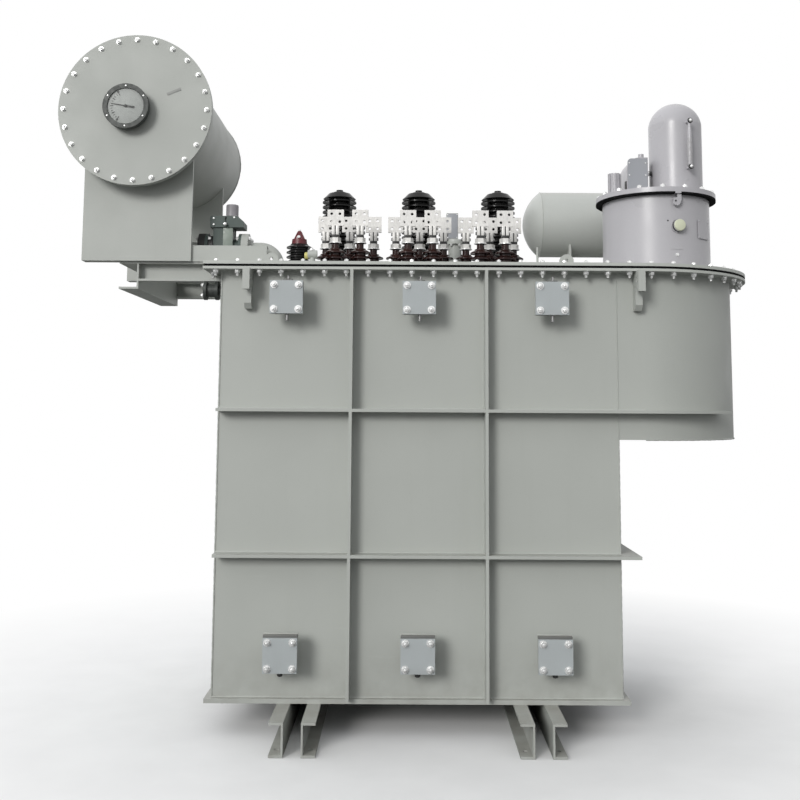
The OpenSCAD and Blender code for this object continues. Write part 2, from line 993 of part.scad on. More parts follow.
// Terminal box of the drive: a flat front under a roof that is round at the left
module drive_box() {
    r = box_w * 0.62;
    gland = box_w * 0.26;
    color(lavender)
        translate([dome_x - dome_d / 2 - box_w * 1.29, -drum_y, dome_z]) {
            translate([0, box_w * 0.58, 0])
                rotate([90, 0, 0])
                    linear_extrude(box_w * 1.46) {
                        square([box_w, box_h - r]);
                        translate([r, 0])
                            square([box_w - r, box_h]);
                        intersection() {
                            translate([r, box_h - r])
                                circle(r);
                            square([r, box_h]);
                        }
                    }
            translate([box_w * 0.79, -box_w * 0.38, box_h])
                cylinder(d = gland, h = gland);
        }
}

// Turns its children so that they stand along the small conservator, from its middle
module along_small() {
    translate([small_x, small_y, small_z])
        rotate([0, 90, 0])
            children();
}

module small_conservator() {
    color(light_grey)
        along_small()
            difference() {
                cylinder(d = small_d, h = small_len, center = true);
                cylinder(d = small_d - 2 * wall_t, h = small_len + 2, center = true);
            }
}

module small_conservator_ends() {
    cap_r = (small_d * small_d / 4 + small_dish * small_dish) / (2 * small_dish);
    color(light_grey)
        along_small()
            for (side = [0, 1])
                mirror([0, 0, side])
                    translate([0, 0, small_len / 2])
                        rotate_extrude()
                            intersection() {
                                square([small_d / 2, small_dish]);
                                translate([0, small_dish - cap_r])
                                    difference() {
                                        circle(cap_r, $fn = 240);
                                        circle(cap_r - wall_t, $fn = 240);
                                    }
                            }
}

module small_conservator_feet() {
    t = wall_t * 1.4;
    color(grey)
        for (x = [-1, 1])
            translate([small_x + x * small_len * 0.227 - t / 2, small_y, top_z])
                rotate([90, 0, 90])
                    linear_extrude(t)
                        difference() {
                            translate([-small_d * 0.35, 0])
                                square([small_d * 0.7, small_up]);
                            translate([0, small_up])
                                circle(d = small_d);
                        }
}

// Small capped valve at the left and a thin post at the right of the cover's front edge
module cover_fittings() {
    d = tap_d;
    color(grey) {
        translate([neutral_x + tap_right, -half_d + fitting_in, top_z]) {
            translate([-d * 0.55, 0, 0])
                cylinder(d = d * 0.66, h = d * 1.3);
            translate([0, 0, d * 1.3])
                rotate([0, -90, 0])
                    cylinder(d = d, h = d * 1.1);
        }
        translate([post_right, -half_d + fitting_in, top_z]) {
            cylinder(d = post_h * 0.11, h = post_h);
            cylinder(d = post_h * 0.3, h = post_h * 0.15);
        }
    }
}

left_skid();
right_skid();
bottom_plate();
front_wall();
back_wall();
left_wall();
right_wall();
bay_wall();
bay_floor();
wall_uprights();
wall_rails();
end_rail();
bay_rail();
tank_flange();
cover_gasket();
tank_cover();
lifting_lugs();
cover_ears();
radiator_necks();
blanking_plates();
side_valve();
conservator_shell();
conservator_front_cover();
conservator_rear_cover();
oil_gauge();
saddles();
saddle_beams();
bracket_beams();
bracket_tie();
gas_relay();
relay_pipes();
lv_porcelains();
lv_terminals();
hv_porcelains();
hv_terminals();
neutral_bushing();
neutral_cap();
vent_turret();
vent_box();
tap_changer_drum();
tap_changer_lid();
drive_dome();
drive_box();
small_conservator();
small_conservator_ends();
small_conservator_feet();
cover_fittings();
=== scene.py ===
import json
import math
import random

import bmesh
import bpy
from mathutils import Matrix, Vector


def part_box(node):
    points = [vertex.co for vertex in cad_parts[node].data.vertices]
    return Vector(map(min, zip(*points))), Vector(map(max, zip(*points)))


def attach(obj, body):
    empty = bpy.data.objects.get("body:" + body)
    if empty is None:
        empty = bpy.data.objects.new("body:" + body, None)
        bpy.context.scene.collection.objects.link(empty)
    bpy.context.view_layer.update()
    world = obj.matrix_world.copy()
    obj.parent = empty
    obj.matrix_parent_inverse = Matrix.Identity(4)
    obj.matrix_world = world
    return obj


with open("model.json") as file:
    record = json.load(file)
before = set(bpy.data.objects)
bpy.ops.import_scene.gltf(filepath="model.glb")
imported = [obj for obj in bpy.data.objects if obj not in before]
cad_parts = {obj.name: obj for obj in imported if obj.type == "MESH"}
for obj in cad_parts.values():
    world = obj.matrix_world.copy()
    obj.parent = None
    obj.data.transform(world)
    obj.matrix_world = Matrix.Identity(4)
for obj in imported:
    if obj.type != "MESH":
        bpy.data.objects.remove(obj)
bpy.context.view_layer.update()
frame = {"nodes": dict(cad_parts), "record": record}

nodes = frame["nodes"]
scene = bpy.context.scene
scene.view_settings.view_transform = "Standard"

# Camera: fitted to the tank's edges, skids and conservator in the photograph's square frame
FRAME_PX = 800
SENSOR_MM = 36.0
FOCAL_PX = 1020.0
CENTRE_PX = (405.0, 296.0)
CAM_AT = Vector((-0.0644, -5.25, 1.4496))
CAM_PITCH = math.radians(6.154)
CAM_ROLL = 0.0058
CLIP_END = 200

cam_data = bpy.data.cameras.new("camera")
cam_data.sensor_width = SENSOR_MM
cam_data.lens = FOCAL_PX / FRAME_PX * SENSOR_MM
cam_data.shift_x = (FRAME_PX / 2 - CENTRE_PX[0]) / FRAME_PX
cam_data.shift_y = (CENTRE_PX[1] - FRAME_PX / 2) / FRAME_PX
cam_data.clip_end = CLIP_END
cam = bpy.data.objects.new("camera", cam_data)
cam.matrix_world = (Matrix.Translation(CAM_AT)
                    @ Matrix.Rotation(math.pi / 2 + CAM_PITCH, 4, "X")
                    @ Matrix.Rotation(CAM_ROLL, 4, "Z"))
scene.collection.objects.link(cam)
scene.camera = cam

# Materials
NOISE_ROUGHNESS = 0.55
MID = (0.3, 0.7)  # where most of a noise's values lie
RUNS, SCUFFS, SCRATCHES = (9, 9, 0.7), (4, 4, 46), (1, 1, 0.15)  # stretches of a noise
DUST = (0.33, 0.315, 0.28)
GRIME = (0.15, 0.13, 0.105)
GLAZE_DUST = (0.16, 0.14, 0.12)
TOP_DUST = 0.42  # share of dust on a level face
GRIME_SHARE, GRIME_REACH = 0.4, 0.42  # share at the floor, and height in metres where it ends


def node_tree(name):
    mat = bpy.data.materials.new(name)
    mat.use_nodes = True
    tree = mat.node_tree
    tree.nodes.clear()
    out = tree.nodes.new("ShaderNodeOutputMaterial")
    bsdf = tree.nodes.new("ShaderNodeBsdfPrincipled")
    tree.links.new(bsdf.outputs[0], out.inputs["Surface"])
    return mat, tree, bsdf


def noise(tree, scale, detail, stretch=None):
    """Noise in the object's own metres, stretched along the axes if asked."""
    coord = tree.nodes.new("ShaderNodeTexCoord")
    tex = tree.nodes.new("ShaderNodeTexNoise")
    tex.inputs["Scale"].default_value = scale
    tex.inputs["Detail"].default_value = detail
    tex.inputs["Roughness"].default_value = NOISE_ROUGHNESS
    source = coord.outputs["Object"]
    if stretch:
        mapping = tree.nodes.new("ShaderNodeMapping")
        mapping.inputs["Scale"].default_value = stretch
        tree.links.new(source, mapping.inputs["Vector"])
        source = mapping.outputs["Vector"]
    tree.links.new(source, tex.inputs["Vector"])
    return tex.outputs["Fac"]


def ramp(tree, source, low, high, to_low, to_high):
    node = tree.nodes.new("ShaderNodeMapRange")
    node.inputs["From Min"].default_value = low
    node.inputs["From Max"].default_value = high
    node.inputs["To Min"].default_value = to_low
    node.inputs["To Max"].default_value = to_high
    tree.links.new(source, node.inputs["Value"])
    return node.outputs["Result"]


def times(tree, first, second):
    node = tree.nodes.new("ShaderNodeMath")
    node.operation = "MULTIPLY"
    tree.links.new(first, node.inputs[0])
    tree.links.new(second, node.inputs[1])
    return node.outputs[0]


def upright(tree, node_type, output):
    """The Z part of a node's vector: the height of a point, or how far a face looks up."""
    split = tree.nodes.new("ShaderNodeSeparateXYZ")
    tree.links.new(tree.nodes.new(node_type).outputs[output], split.inputs[0])
    return split.outputs["Z"]


def mix(tree, fac, first, second, mode="MIX"):
    """Mixes two colours; each is a tuple or a socket."""
    node = tree.nodes.new("ShaderNodeMix")
    node.data_type = "RGBA"
    node.blend_type = mode
    for place, value in ((0, fac), (6, first), (7, second)):
        socket = node.inputs[place]
        if isinstance(value, bpy.types.NodeSocket):
            tree.links.new(value, socket)
        elif isinstance(value, tuple):
            socket.default_value = (*value, 1)
        else:
            socket.default_value = value
    return node.outputs[2]


def coat(tree, bsdf, base, rough, layers):
    """Links colour and roughness, and stacks (height, strength, metres) bump layers."""
    tree.links.new(base, bsdf.inputs["Base Color"])
    tree.links.new(rough, bsdf.inputs["Roughness"])
    normal = None
    for height, strength, distance in layers:
        node = tree.nodes.new("ShaderNodeBump")
        node.inputs["Strength"].default_value = strength
        node.inputs["Distance"].default_value = distance
        tree.links.new(height, node.inputs["Height"])
        if normal:
            tree.links.new(normal, node.inputs["Normal"])
        normal = node.outputs["Normal"]
    tree.links.new(normal, bsdf.inputs["Normal"])


def scaled(colour, k):
    return tuple(min(c * k, 1.0) for c in colour)


def paint(name, colour, rough, streak=0.5, wave=0.25):
    """Sprayed paint on plate: drift, runs, scuffs, specks, dust on top, grime near the floor."""
    mat, tree, bsdf = node_tree(name)
    drift = ramp(tree, noise(tree, 1.7, 4), *MID, 0, 1)
    base = mix(tree, drift, scaled(colour, 0.96), scaled(colour, 1.035))
    runs = ramp(tree, noise(tree, 1.0, 5, RUNS), 0.54, 0.8, 0, 0.24 * streak)
    base = mix(tree, runs, base, (colour[0] * 0.72, colour[1] * 0.7, colour[2] * 0.66))
    scuffs = ramp(tree, noise(tree, 1.0, 3, SCUFFS), 0.68, 0.76, 0, 0.2 * streak)
    base = mix(tree, scuffs, base, scaled(colour, 1.25))
    specks = ramp(tree, noise(tree, 95, 2), 0.67, 0.8, 0, 0.22)
    base = mix(tree, specks, base, scaled(colour, 0.66))
    top = ramp(tree, upright(tree, "ShaderNodeNewGeometry", "Normal"), 0.75, 1.0, 0, TOP_DUST)
    top = times(tree, top, ramp(tree, noise(tree, 7, 5), *MID, 0.35, 1))
    base = mix(tree, top, base, DUST)
    height = upright(tree, "ShaderNodeTexCoord", "Object")
    low = ramp(tree, height, 0.0, GRIME_REACH, GRIME_SHARE, 0)
    low = times(tree, low, ramp(tree, noise(tree, 11, 5), 0.35, 0.7, 0, 1))
    base = mix(tree, low, base, GRIME)
    grain = ramp(tree, noise(tree, 420, 1), *MID, 0.97, 1.025)
    base = mix(tree, 1.0, base, grain, "MULTIPLY")
    gloss = ramp(tree, noise(tree, 6, 4), *MID, rough - 0.06, rough + 0.08)
    coat(tree, bsdf, base, gloss,
         [(noise(tree, 2.2, 2), wave, 0.004), (noise(tree, 330, 1), 0.05, 0.0006)])
    return mat


def metal(name, colour, rough, metallic, tarnish):
    """Plated or machined metal with tarnish patches and fine scratches."""
    mat, tree, bsdf = node_tree(name)
    patch = ramp(tree, noise(tree, 38, 4), 0.42, 0.7, 0, tarnish)
    base = mix(tree, patch, colour, scaled(colour, 0.55))
    fine = ramp(tree, noise(tree, 300, 2, SCRATCHES), *MID, 0.86, 1.06)
    base = mix(tree, 1.0, base, fine, "MULTIPLY")
    bsdf.inputs["Metallic"].default_value = metallic
    gloss = ramp(tree, noise(tree, 60, 3), *MID, rough - 0.1, rough + 0.14)
    coat(tree, bsdf, base, gloss, [(noise(tree, 500, 2), 0.06, 0.0004)])
    return mat


def glaze(name, colour, pale, dusty, shine):
    """Glazed porcelain: glossy coat over a colour that pools and thins, with dust on it."""
    mat, tree, bsdf = node_tree(name)
    pool = ramp(tree, noise(tree, 16, 4), 0.35, 0.7, 0, 1)
    base = mix(tree, pool, colour, pale)
    top = upright(tree, "ShaderNodeNewGeometry", "Normal")
    top = ramp(tree, top, 0.3, 1.0, 0, 0.3 * dusty)
    dust = times(tree, top, ramp(tree, noise(tree, 70, 4), 0.4, 0.7, 0.1, 1))
    base = mix(tree, dust, base, GLAZE_DUST)
    bsdf.inputs["Specular IOR Level"].default_value = shine
    gloss = ramp(tree, noise(tree, 40, 3), 0.3, 0.75, 0.1, 0.3)
    coat(tree, bsdf, base, gloss, [(noise(tree, 45, 2), 0.08, 0.001)])
    return mat


def rubber(name, colour, rough, patchy=2.2, shine=0.5):
    """Rubber, plastic or printed sheet with worn patches and a fine grain."""
    mat, tree, bsdf = node_tree(name)
    patch = ramp(tree, noise(tree, 24, 5), 0.35, 0.75, 0, 1)
    base = mix(tree, patch, colour, scaled(colour, patchy))
    bsdf.inputs["Specular IOR Level"].default_value = shine
    gloss = ramp(tree, noise(tree, 90, 2), *MID, rough - 0.1, rough + 0.15)
    coat(tree, bsdf, base, gloss, [(noise(tree, 240, 3), 0.15, 0.0008)])
    return mat


def pane(name):
    """Thin glass: clear, with a faint smeared reflection."""
    mat, tree, bsdf = node_tree(name)
    out = bsdf.outputs[0].links[0].to_node
    clear = tree.nodes.new("ShaderNodeBsdfTransparent")
    blend = tree.nodes.new("ShaderNodeMixShader")
    smear = noise(tree, 26, 4)
    tint = mix(tree, smear, (0.5, 0.53, 0.52), (0.42, 0.44, 0.43))
    tree.links.new(ramp(tree, smear, 0.35, 0.75, 0.02, 0.07), blend.inputs[0])
    tree.links.new(ramp(tree, smear, 0.4, 0.75, 0.06, 0.3), bsdf.inputs["Roughness"])
    tree.links.new(tint, bsdf.inputs["Base Color"])
    tree.links.new(clear.outputs[0], blend.inputs[1])
    tree.links.new(bsdf.outputs[0], blend.inputs[2])
    tree.links.new(blend.outputs[0], out.inputs["Surface"])
    return mat


TANK = (0.385, 0.4, 0.376)
MAT = {
    "tank_paint": paint("tank_paint", TANK, 0.48),
    "light_paint": paint("light_paint", (0.425, 0.44, 0.42), 0.36, 0.4),
    "tap_changer_paint": paint("tap_changer_paint", (0.4, 0.393, 0.413), 0.3, 0.3, 0.1),
    "blank_paint": paint("blank_paint", (0.362, 0.39, 0.398), 0.42, 0.7),
    "gasket_rubber": rubber("gasket_rubber", (0.004, 0.004, 0.0043), 0.75, 1.8, 0.06),
    "dark_casting": metal("dark_casting", (0.05, 0.056, 0.052), 0.5, 0.1, 0.5),
    "brown_glaze": glaze("brown_glaze", (0.014, 0.0045, 0.004), (0.032, 0.011, 0.009), 0.4, 0.28),
    "black_glaze": glaze("black_glaze", (0.005, 0.005, 0.005), (0.01, 0.0095, 0.0095), 0.2, 0.22),
    "terminal_metal": metal("terminal_metal", (0.69, 0.68, 0.662), 0.5, 0.4, 0.2),
    "red_cap": rubber("red_cap", (0.085, 0.007, 0.011), 0.4, 1.5),
}
ZINC = metal("zinc_plate", (0.84, 0.845, 0.84), 0.28, 0.5, 0.18)
STEEL = metal("dark_steel", (0.3, 0.3, 0.3), 0.4, 1.0, 0.6)
GRIP = metal("handle_grip", (0.36, 0.355, 0.365), 0.46, 0.15, 0.15)
# Painted shade: the tank's paint a little darker on the conservator covers, against the key
# light's glare on them; the rougher finish is the paint's own
SHADED_COVER_PAINT = paint("shaded_cover_paint", scaled(TANK, 0.985), 0.5, 0.4)
# Painted highlight: the tank's paint made lighter on the flange and cover, where the light catches
# the rim
LIT_RIM_PAINT = paint("lit_rim_paint", scaled(TANK, 1.12), 0.48)
BEAD = paint("weld_paint", scaled(TANK, 0.98), 0.46, 0.3)
BARE_STRIP = paint("strip_paint", (0.285, 0.292, 0.28), 0.6, 0.6)
BOX_FRONT = paint("box_paint", (0.3, 0.31, 0.335), 0.36, 0.3, 0.1)
RELAY_GREEN = paint("relay_paint", (0.05, 0.072, 0.064), 0.5, 0.6, 0.1)
RELAY_WINDOW = rubber("relay_window", (0.2, 0.235, 0.205), 0.4, 1.25)
CONDUIT = rubber("conduit", (0.25, 0.24, 0.255), 0.4, 1.3)
# Dark paint for the pads under the upper pins, and painted shade for the bands on the lower
# flanges' tops
PAD_AND_SHADE_PAINT = paint("pad_and_shade_paint", (0.125, 0.127, 0.122), 0.5, 0.6, 0.1)
YELLOW = rubber("yellow_cap", (0.5, 0.46, 0.16), 0.45, 1.15)
PLUG_CAP = rubber("plug_cap", (0.55, 0.57, 0.43), 0.4, 1.08)
# Black plastic and rubber, also used for the black pieces painted as shade: the disc in the drum's
# hole and the strip under the drive box
BLACK_AND_SHADE = rubber("black_plastic_and_painted_shade", (0.011, 0.011, 0.011), 0.42)
DIAL = rubber("dial_face", (0.37, 0.385, 0.37), 0.6, 1.04)
GLASS = pane("gauge_glass")

node_slot = {p["node"]: p["material_slot"] for p in frame["record"]["subparts"]}
own = {"gas_relay": RELAY_GREEN,
       # conservator covers: the darker cover paint, a painted shade
       "conservator_front_cover": SHADED_COVER_PAINT, "conservator_rear_cover": SHADED_COVER_PAINT,
       # flange and cover: the lighter rim paint, a painted highlight
       "tank_flange": LIT_RIM_PAINT, "tank_cover": LIT_RIM_PAINT}
for name, obj in nodes.items():
    obj.data.materials.clear()
    obj.data.materials.append(own.get(name) or MAT[node_slot[name]])

# Mesh tools
SMOOTH_ANGLE = math.radians(32)
UP, DOWN, FRONT, BACK = (0, 0, 1), (0, 0, -1), (0, -1, 0), (0, 1, 0)
LEFT, RIGHT = (-1, 0, 0), (1, 0, 0)


def shift(x, y, z):
    return Matrix.Translation((x, y, z))


def facing(direction, at):
    """Place whose Z axis points along the direction."""
    turn = Vector(direction).to_track_quat("Z", "Y").to_matrix().to_4x4()
    return Matrix.Translation(at) @ turn


def outward(angle):
    """Level direction at an angle from the front, towards the right."""
    a = math.radians(angle)
    return Vector((math.sin(a), -math.cos(a), 0))


def on_post(axis, radius, angle, z):
    """Point on a round upright, at an angle from the front."""
    return Vector((axis.x, axis.y, z)) + outward(angle) * radius


def arc(centre, radius, start, end, n, z):
    angles = (math.radians(start + (end - start) * i / n) for i in range(n + 1))
    return [Vector((centre[0] + radius * math.cos(a), centre[1] + radius * math.sin(a), z))
            for a in angles]


def ring_line(centre, radius, n, z=None, y=None, x=None):
    """Points round a circle in the plane square to the given axis value."""
    out = []
    for i in range(n):
        a = 2 * math.pi * i / n
        c, s = radius * math.cos(a), radius * math.sin(a)
        if y is not None:
            out.append(Vector((centre[0] + c, y, centre[2] + s)))
        elif x is not None:
            out.append(Vector((x, centre[1] + c, centre[2] + s)))
        else:
            out.append(Vector((centre[0] + c, centre[1] + s, z)))
    return out


def path(points, step):
    """Evenly spaced points along a line of corners."""
    pts = [Vector(p) for p in points]
    out = []
    for a, b in zip(pts, pts[1:]):
        n = max(1, round((b - a).length / step))
        out += [a.lerp(b, i / n) for i in range(n)]
    return out + [pts[-1]]


def lathe(bm, profile, place, segs):
    """Turns (radius, height) points about Z; a radius of 0 closes the form."""
    rings = []
    for r, z in profile:
        if r < 1e-7:
            rings.append([bm.verts.new(place @ Vector((0, 0, z)))])
            continue
        angles = [2 * math.pi * i / segs for i in range(segs)]
        rings.append([bm.verts.new(place @ Vector((r * math.cos(a), r * math.sin(a), z)))
                      for a in angles])
    for low, high in zip(rings, rings[1:]):
        for i in range(segs):
            j = (i + 1) % segs
            if len(low) == 1:
                bm.faces.new((low[0], high[j], high[i]))
            elif len(high) == 1:
                bm.faces.new((low[i], low[j], high[0]))
            else:
                bm.faces.new((low[i], low[j], high[j], high[i]))


def block(bm, size, place, edge=0.0015):
    """Box with bevelled edges, centred on its place."""
    made = bmesh.ops.create_cube(bm, size=1.0, matrix=place @ Matrix.Diagonal((*size, 1)))
    edges = list(dict.fromkeys(e for v in made["verts"] for e in v.link_edges))
    bmesh.ops.bevel(bm, geom=edges, offset=edge, segments=2, affect="EDGES", profile=0.6)


def sweep(bm, points, radius, segs, ripple=0.0, closed=False):
    """Round bar through the points; a ripple makes it a weld bead."""
    pts = [Vector(p) for p in points]
    rings = []
    n = len(pts)
    for i, p in enumerate(pts):
        before = pts[i - 1] if i or closed else p
        after = pts[(i + 1) % n] if i < n - 1 or closed else p
        t = (after - before).normalized()
        side = t.cross(Vector((0, 0, 1)))
        if side.length < 0.05:
            side = t.cross(Vector((0, 1, 0)))
        side.normalize()
        up = side.cross(t)
        r = radius * (1 + ripple * math.sin(i * 2.1) + ripple * 0.6 * math.sin(i * 0.73))
        rings.append([bm.verts.new(p + side * (r * math.cos(a)) + up * (r * math.sin(a)))
                      for a in (2 * math.pi * k / segs for k in range(segs))])
    pairs = list(zip(rings, rings[1:])) + ([(rings[-1], rings[0])] if closed else [])
    for low, high in pairs:
        for i in range(segs):
            j = (i + 1) % segs
            bm.faces.new((low[i], low[j], high[j], high[i]))
    if not closed:
        bm.faces.new(rings[0][::-1])
        bm.faces.new(rings[-1])


def curved_plate(bm, axis, inner, outer, start, end, low, high, n=14):
    """Plate bent round an upright axis."""
    section = ((inner, low), (outer, low), (outer, high), (inner, high))
    rows = []
    for i in range(n + 1):
        a = start + (end - start) * i / n
        rows.append([bm.verts.new(on_post(axis, r, a, z)) for r, z in section])
    for first, second in zip(rows, rows[1:]):
        for k in range(4):
            m = (k + 1) % 4
            bm.faces.new((first[k], first[m], second[m], second[k]))
    bm.faces.new(rows[0][::-1])
    bm.faces.new(rows[-1])


def slab(bm, outline, depth, place):
    """Plate with an outline in X and Z, its front at the place and its depth away from it."""
    front = [bm.verts.new(place @ Vector((x, 0, z))) for x, z in outline]
    back = [bm.verts.new(place @ Vector((x, depth, z))) for x, z in outline]
    bm.faces.new(front)
    bm.faces.new(back[::-1])
    for i in range(len(front)):
        j = (i + 1) % len(front)
        bm.faces.new((front[i], back[i], back[j], front[j]))


def piece(name, bm, material):
    bmesh.ops.recalc_face_normals(bm, faces=bm.faces)
    mesh = bpy.data.meshes.new(name)
    bm.to_mesh(mesh)
    bm.free()
    mesh.materials.append(material)
    mesh.shade_smooth()
    mesh.set_sharp_from_angle(angle=SMOOTH_ANGLE)
    obj = bpy.data.objects.new(name, mesh)
    scene.collection.objects.link(obj)
    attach(obj, "root")
    return obj


# Fasteners
WASHER_SEGS, STUD_SEGS = 20, 12
THREAD_PITCH = 0.0035
rng = random.Random(7)


def washer(bm, place, r, t):
    lathe(bm, [(0, 0), (r, 0), (r, t * 0.7), (r * 0.96, t), (0, t)], place, WASHER_SEGS)


def hex_head(bm, place, across, height):
    """Bolt head or nut: six flats with a chamfered top and a dished middle."""
    r = across / 2 / math.cos(math.pi / 6)
    lathe(bm, [(0, 0), (r, 0), (r, height * 0.8), (r * 0.88, height), (r * 0.6, height),
               (r * 0.55, height * 0.94), (0, height * 0.94)], place, 6)


def stud(bm, place, r, length):
    """Threaded end with a rounded tip."""
    profile = [(0, 0)]
    turns = max(3, round(length / THREAD_PITCH))
    for i in range(turns):
        z = length * 0.9 * i / turns
        profile += [(r, z), (r * 0.88, z + length * 0.45 / turns)]
    profile += [(r * 0.9, length * 0.9), (r * 0.6, length), (0, length)]
    lathe(bm, profile, place, STUD_SEGS)


def bolt(bm, at, direction, across, head, with_washer=True, tail=0.0, wide=0.72):
    """Washer, head and, if a tail is given, a thread end beyond the nut."""
    place = facing(direction, at) @ Matrix.Rotation(rng.uniform(0, math.pi), 4, "Z")
    lift = 0.0
    if with_washer:
        washer(bm, place, across * wide, across * 0.13)
        lift = across * 0.13
    hex_head(bm, place @ shift(0, 0, lift), across, head)
    if tail:
        stud(bm, place @ shift(0, 0, lift + head * 0.9), across * 0.3, tail)


def screw(bm, at, r, edge, shoulder, height, segs):
    """Small domed screw head on a face that looks to the front."""
    lathe(bm, [(0, 0), (r, 0), (r, edge), shoulder, (0, height)], facing(FRONT, at), segs)


# Levels and lines of the CAD model, in metres
HALF_W, HALF_D = 0.915, 0.55
BAY_X = 1.04
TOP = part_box("tank_cover")[1][2]
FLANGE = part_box("tank_flange")[0][2]
WALL_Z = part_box("front_wall")[0][2]
BAY_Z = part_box("bay_floor")[0][2]
LOW_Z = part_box("end_rail")[0][2]
HIGH_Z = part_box("bay_rail")[0][2]
RIB_T = 0.014
UPRIGHT = 0.308
CONS = Vector((-1.346, 0.032, 2.836))
CONS_R = 0.315
COVER_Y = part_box("conservator_front_cover")[0][1]
REAR_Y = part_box("conservator_rear_cover")[0][1]
CONS_RIM_T = 0.036
DRUM = Vector((1.225, -0.06, TOP))
DRUM_R = 0.268
DRUM_FLANGE_T = 0.016
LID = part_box("tap_changer_drum")[1][2]
LID_TOP = LID + DRUM_FLANGE_T
DOME = Vector((1.335, -0.06, LID_TOP))
DOME_R = 0.134
SMALL = Vector((0.97, 0.435, 2.47))
GAUGE = Vector((-1.376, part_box("oil_gauge")[0][1], 2.837))
RELAY_Y, RELAY_Z = -0.25, 2.226
LV_X, LV_PITCH, LV_STEP = 0.009, 0.356, 0.121
LV_REAR_Y, LV_FRONT_Y = -0.11, -0.30
LV_NUT_Z = TOP + 0.133

# Cover bolts: heads on the cover, nuts with thread ends under the flange, about 100 mm apart
BOLT_LINE = 0.048  # distance outside the wall line
ROW_START, ROW_PITCH, ROW_COUNT = -0.9356, 0.1002, 20
BAY_START, BAY_PITCH, BAY_COUNT = 2.8, 10.26, 18
END_START, END_PITCH, END_COUNT = -0.5, 0.1, 11
BEAM_Y, BEAM_CLEAR = (-0.39, 0.41), 0.06  # beams on the left end, which keep bolts away
SHANK_R = 0.0055
COVER_HEAD = dict(across=0.0175, head=0.009, tail=0.004)
COVER_NUT = dict(across=0.0235, head=0.0135, tail=0.015, wide=0.7)


def rim_line(out):
    """Bolt line round the cover, at a distance outside the wall line."""
    row = [ROW_START + ROW_PITCH * i for i in range(ROW_COUNT)]
    end = [END_START + END_PITCH * i for i in range(END_COUNT)]
    pts = [Vector((x, -HALF_D - out, 0)) for x in row]
    pts += [Vector((BAY_X, 0, 0)) + outward(BAY_START + BAY_PITCH * i) * (HALF_D + out)
            for i in range(BAY_COUNT)]
    pts += [Vector((x, HALF_D + out, 0)) for x in row]
    pts += [Vector((-HALF_W - out, y, 0)) for y in end
            if min(abs(y - beam) for beam in BEAM_Y) > BEAM_CLEAR]
    return pts


heads = bmesh.new()
shanks = bmesh.new()
for p in rim_line(BOLT_LINE):
    bolt(heads, p + Vector((0, 0, TOP)), UP, **COVER_HEAD)
    bolt(heads, p + Vector((0, 0, FLANGE)), DOWN, **COVER_NUT)
    lathe(shanks, [(SHANK_R, FLANGE), (SHANK_R, TOP)], Matrix.Translation(p), 12)
piece("cover_bolts", heads, ZINC)
piece("cover_bolt_shanks", shanks, BLACK_AND_SHADE)

# Lip of the cover's gasket, just inside the rim
LIP_OUT, LIP_IN = 0.071, 0.055
LIP_LOW, LIP_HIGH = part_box("cover_gasket")[0][2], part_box("cover_gasket")[1][2]
LIP_SECTION = ((LIP_IN, LIP_LOW), (LIP_OUT, LIP_LOW), (LIP_OUT, LIP_HIGH), (LIP_IN, LIP_HIGH))


def rim_loop(out, z):
    """Corners of the cover's outline, at a distance outside the wall line."""
    left = -HALF_W - out
    bay = arc((BAY_X, 0), HALF_D + out, -90, 90, 90, z)
    return [Vector((left, -HALF_D - out, z))] + bay + [Vector((left, HALF_D + out, z))]


lip = bmesh.new()
loops = [[lip.verts.new(v) for v in rim_loop(out, z)] for out, z in LIP_SECTION]
for low, high in zip(loops, loops[1:] + loops[:1]):
    for i in range(len(low)):
        lip.faces.new((low[i - 1], low[i], high[i], high[i - 1]))
piece("gasket_lip", lip, MAT["gasket_rubber"])

# Conservator cover: twenty-four bolts through the rim, and a bare strip
CONS_BOLTS, CONS_BOLT_CIRCLE = 24, 0.3395
CONS_HEAD = dict(across=0.0172, head=0.01, tail=0.005)
CONS_NUT = dict(across=0.0172, head=0.011, tail=0.006)
STRIP = (0.07, 0.0016, 0.0135)
STRIP_AT, STRIP_TURN = (-1.164, COVER_Y - 0.0006, 2.924), math.radians(-23)
bolts = bmesh.new()
for i in range(CONS_BOLTS):
    a = math.radians(360 / CONS_BOLTS * i)
    spot = Vector((CONS.x + CONS_BOLT_CIRCLE * math.cos(a), COVER_Y,
                   CONS.z + CONS_BOLT_CIRCLE * math.sin(a)))
    bolt(bolts, spot, FRONT, **CONS_HEAD)
    bolt(bolts, spot + Vector((0, CONS_RIM_T, 0)), BACK, **CONS_NUT)
piece("conservator_bolts", bolts, ZINC)
strip = bmesh.new()
block(strip, STRIP,
      Matrix.Translation(STRIP_AT) @ Matrix.Rotation(STRIP_TURN, 4, "Y"), 0.0004)
piece("cover_strip", strip, BARE_STRIP)

# Oil gauge: screws in the rim, pale dial with a tick scale on the left, needle and glass
DIAL_Y = GAUGE.y + 0.009
MARK_Y, NEEDLE_Y, GLASS_Y = DIAL_Y - 0.0024, DIAL_Y - 0.0046, GAUGE.y + 0.0025
MARK_T = 0.0012
SCREW_CIRCLE = 0.0963
GAUGE_SCREW = dict(r=0.0042, edge=0.0012, shoulder=(0.0028, 0.0026), height=0.003, segs=14)
DIAL_R, GLASS_R, DIAL_SEGS = 0.0845, 0.0853, 64
DIAL_PLATE = [(0, 0), (DIAL_R, 0), (DIAL_R, 0.0012), (0.083, 0.0018), (0, 0.0018)]
DIAL_GLASS = [(0, 0), (GLASS_R, 0), (GLASS_R, 0.0012), (0, 0.0012)]
HUB = [(0, 0), (0.0075, 0), (0.0075, 0.003), (0.005, 0.0042), (0, 0.0045)]
HUB_Y = DIAL_Y - 0.0018
